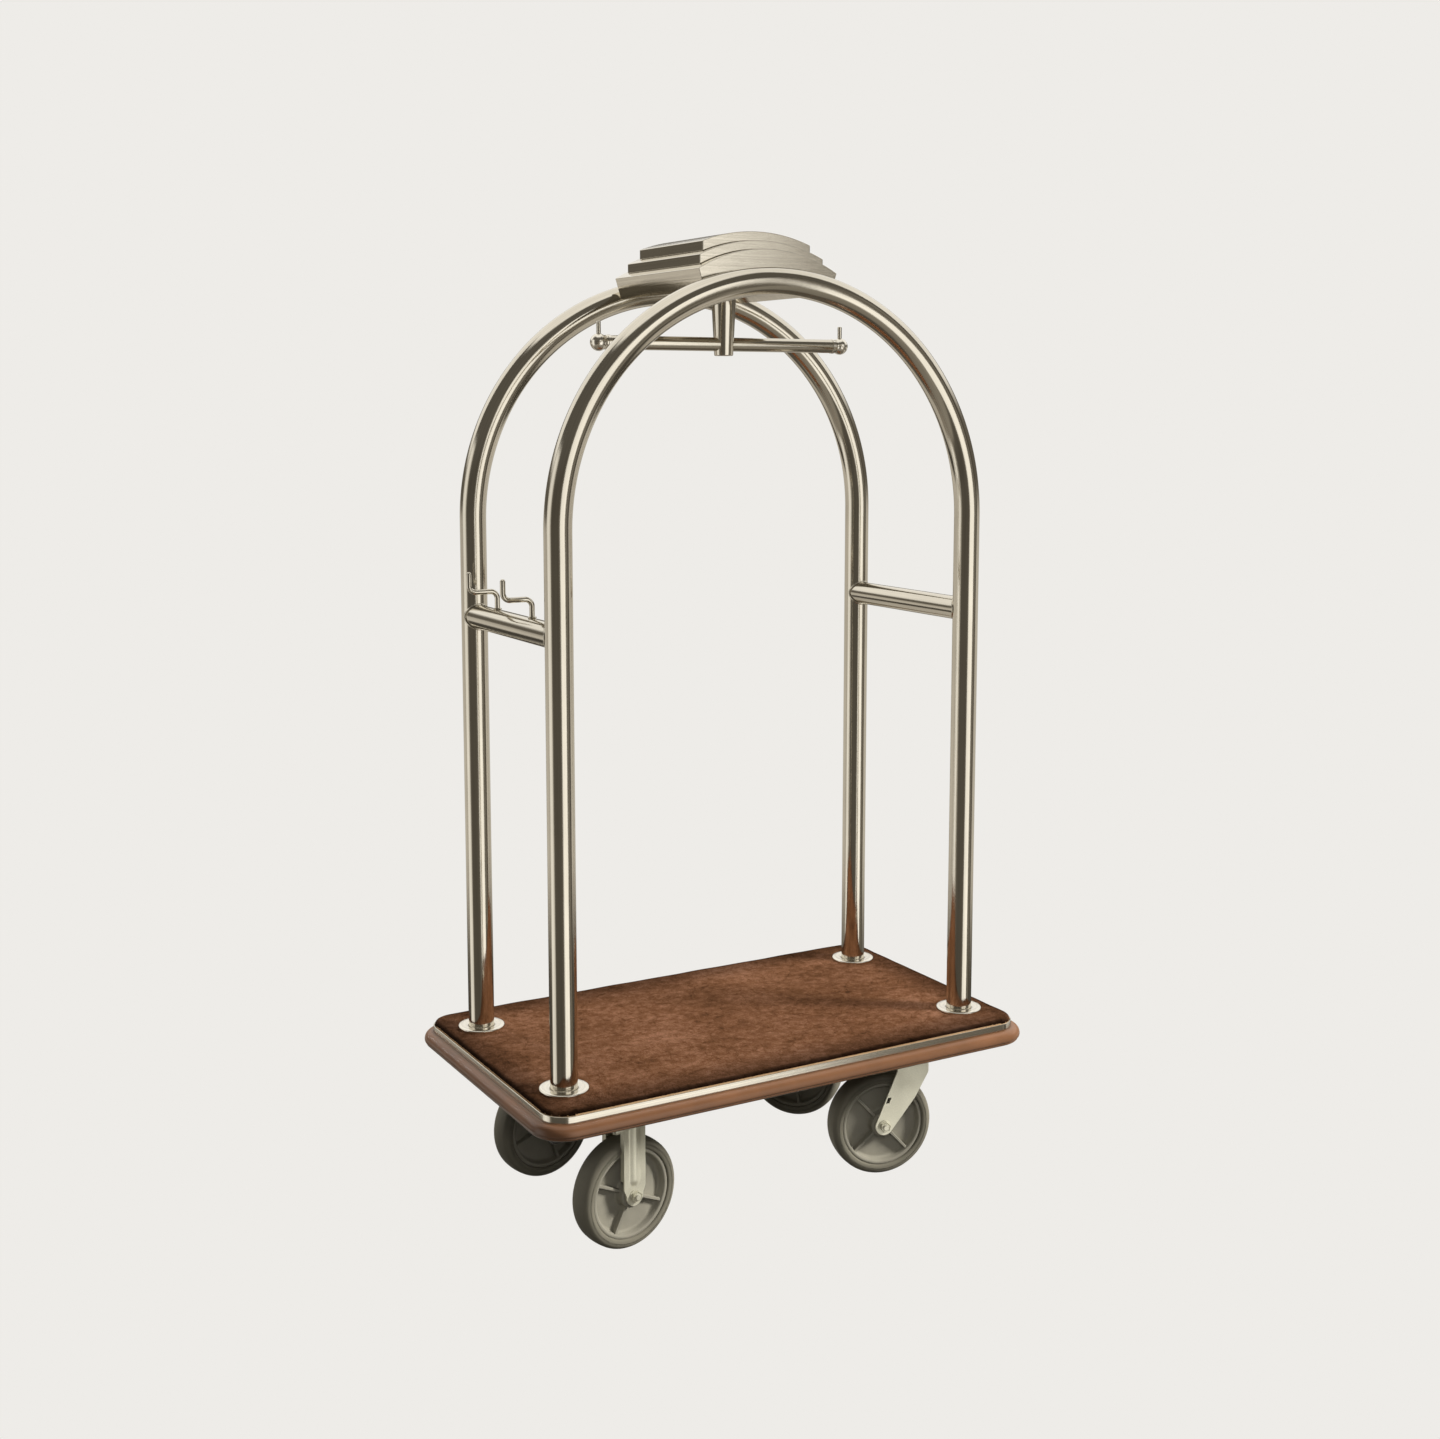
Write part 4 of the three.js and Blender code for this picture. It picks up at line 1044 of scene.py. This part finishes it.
def add_swivel_caster(name, outboard, spoke_angle):
    body = name + "_swivel"
    fork = name + "_caster_fork"
    place = add_wheel(name, name + "_wheel", spoke_angle)
    pivot = Vector(joint_of(body)["pos_m"])
    trail = (pivot - Vector(joint_of(name + "_wheel")["pos_m"])).to_2d().length
    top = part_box(fork)[1].z - AXLE_HEIGHT
    outline, hole = swivel_outline(trail, top)
    outside = LEG_INNER + LEG_THICKNESS
    for side, word in ((-1, "front"), (1, "rear")):
        near, far = sorted((side * LEG_INNER, side * outside))
        leg = prism(f"{fork}_side_{word}", outline, near, far, along=(0.45, 0, 1), hole=hole)
        replaced = [fork] if side < 0 else []
        add(f"{fork}_side_{word}", leg, ZINC, body, replaced, place, bevel=0.9 * MM)
        inner, outer = sorted((side * (LEG_INNER - 9 * MM), side * (LEG_INNER + 1 * MM)))
        fold = prism(f"{fork}_fold_{word}", fold_outline(trail, top), inner, outer, along=(0.4, 0, 1))
        add(f"{fork}_fold_{word}", fold, ZINC, body, place=place, bevel=0.9 * MM)
    crown = rounded_rectangle(trail - FORK_NEAR, trail + FORK_FAR, -outside, outside, 3 * MM)
    mesh = prism(fork + "_crown", crown, top - 4 * MM, top, axis="Z")
    add(fork + "_crown", mesh, ZINC, body, place=place, bevel=0.9 * MM)
    add_axle(name, body, place, outboard)

    plate_node = name + "_caster_plate"
    plate_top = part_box(plate_node)[1].z
    add_plate(name, plate_node, Matrix.Translation((pivot.x, pivot.y, 0)), plate_top)
    race_foot = top + AXLE_HEIGHT + 0.6 * MM
    add_race_and_kingpin(name, pivot, race_foot, plate_top - PLATE_THICKNESS)


# ---- Light and floor ----

BACKDROP = (0.855, 0.838, 0.807)
LIGHT_COLOUR = (1, 0.98, 0.94)


def warm(level):
    """A grey level with a little yellow in it, and more of it where it is dark."""
    warmth = 1 - min(1.0, level)
    return (level, level * (0.975 - 0.09 * warmth), level * (0.925 - 0.22 * warmth))


def add_world():
    """What the steel mirrors: strips round the horizon, and rings above and below them.

    For all other rays the world is one dim colour.
    """
    world = bpy.data.worlds.new("studio")
    bpy.context.scene.world = world
    world.use_nodes = True
    studio = Nodes(world.node_tree)

    direction = studio.node("ShaderNodeTexCoord").outputs["Generated"]
    # Turned so that the middle of the azimuth range is towards the main view
    inputs = {"Vector": direction, "Angle": math.radians(90) - CAMERA_AZIMUTH}
    facing = studio.node("ShaderNodeVectorRotate", inputs, rotation_type="Z_AXIS")
    axes = studio.node("ShaderNodeSeparateXYZ", {0: facing.outputs["Vector"]}).outputs
    azimuth = studio.math("ARCTAN2", axes[1], axes[0])
    azimuth = studio.between(azimuth, 0.0, 1.0, -math.pi, math.pi)
    height = studio.math("ARCSINE", axes[2])
    height = studio.between(height, 0.0, 1.0, -math.pi / 2, math.pi / 2)

    def shades(angle, whole_range, stops):
        stops = [(degrees / whole_range + 0.5, warm(level)) for degrees, level in stops]
        return studio.ramp(angle, stops, "EASE")

    strips = shades(azimuth, 360, [
        (-96, 0.3), (-90, 0.9), (-76, 1.05), (-62, 0.85), (-52, 0.16), (-45, 0.085), (5, 0.085),
        (18, 0.15), (24, 1.2), (60, 1.3), (63, 0.2), (71, 0.13), (80, 0.24), (86, 0.08), (96, 0.08),
    ])
    before = shades(height, 180, [
        (-72, 0.08), (-64, 0.22), (-34, 0.28), (20, 0.09), (60, 0.09), (67, 1.0), (90, 0.95),
    ])
    behind = shades(height, 180, [
        (-50, 0.1), (-42, 0.5), (-28, 0.5), (-23, 0.06), (-18, 0.07), (-14, 0.6), (-4, 0.55),
        (1, 0.12), (9, 0.14), (17, 1.0), (90, 0.95),
    ])
    level = shades(height, 180, [(-36, 0.0), (-30, 1.0), (21, 1.0), (26, 0.0)])
    ahead = shades(azimuth, 360, [(-99, 0.0), (-95, 1.0), (95, 1.0), (99, 0.0)])
    reflected = studio.mix(ahead, behind, studio.mix(level, before, strips))
    glossy = studio.node("ShaderNodeLightPath").outputs["Is Glossy Ray"]
    seen = studio.mix(glossy, (0.09, 0.088, 0.082, 1), reflected)
    studio.feed(world.node_tree.nodes["Background"].inputs["Color"], seen)


def add_light(name, place, aim_height, size, watts):
    """A round lamp that shines at a point on the cart's upright axis."""
    data = bpy.data.lights.new(name, "AREA")
    data.shape = "DISK"
    data.size = size
    data.energy = watts
    data.color = LIGHT_COLOUR
    light = bpy.data.objects.new(name, data)
    bpy.context.scene.collection.objects.link(light)
    toward = Vector((0, 0, aim_height)) - Vector(place)
    turn = toward.to_track_quat("-Z", "Y").to_matrix()
    light.matrix_world = Matrix.Translation(place) @ turn.to_4x4()
    light.visible_glossy = False
    light.visible_camera = False


def plain(name, colour, shader="ShaderNodeEmission"):
    """A material of one flat colour, which glows unless the shader says otherwise."""
    material = bpy.data.materials.new(name)
    material.use_nodes = True
    nodes = material.node_tree.nodes
    nodes.remove(nodes["Principled BSDF"])
    surface = nodes.new(shader)
    surface.inputs["Color"].default_value = (*colour, 1)
    material.node_tree.links.new(surface.outputs[0], nodes["Material Output"].inputs["Surface"])
    return material


def add_backdrop(name, height, material, shape, **sizes):
    """A sheet of the room, made by one of bmesh's shapes, that casts no shadow."""
    mesh = bpy.data.meshes.new(name)
    edit = bmesh.new()
    shape(edit, **sizes)
    edit.to_mesh(mesh)
    edit.free()
    mesh.materials.append(material)
    piece = bpy.data.objects.new(name, mesh)
    piece.location.z = height
    piece.visible_glossy = False
    piece.visible_shadow = False
    bpy.context.scene.collection.objects.link(piece)
    return piece


def add_stage():
    """An even pale room with no horizon, and a grey card that bounces light up from the floor."""
    bpy.context.scene.view_settings.view_transform = "Standard"
    glow = plain("backdrop", BACKDROP)
    disc, ball = bmesh.ops.create_circle, bmesh.ops.create_uvsphere
    floor = add_backdrop("floor", 0, glow, disc, radius=20, segments=96, cap_ends=True)
    backdrop = add_backdrop("backdrop", 0, glow, ball, radius=19, u_segments=48, v_segments=24)
    for piece in (floor, backdrop):
        piece.visible_diffuse = False
    grey = plain("card", (0.07, 0.068, 0.064), "ShaderNodeBsdfDiffuse")
    card = add_backdrop("bounce_card", -0.002, grey, disc, radius=4, segments=96, cap_ends=True)
    card.visible_camera = False
    card.visible_shadow = True
    add_light("key", (3.9, -3.0, 3.0), 0.3, 1.3, 580)
    add_light("fill", (-2.2, -4.0, 2.8), 0.4, 1.6, 60)
    add_light("top", (1.6, 1.2, 4.4), 0.0, 2.2, 150)
    add_light("back", (-1.6, 4.4, 1.9), 0.3, 1.8, 230)


# ---- Everything ----

add_arches()
add_crown_and_hanger()
add_carpet()
add_deck_edge()
add_underframe()
add_post_bolts()
add_rigid_caster("front_left", -1, 65)
add_rigid_caster("rear_left", 1, 20)
add_swivel_caster("front_right", -1, 43)
add_swivel_caster("rear_right", 1, 10)
add_world()
add_stage()
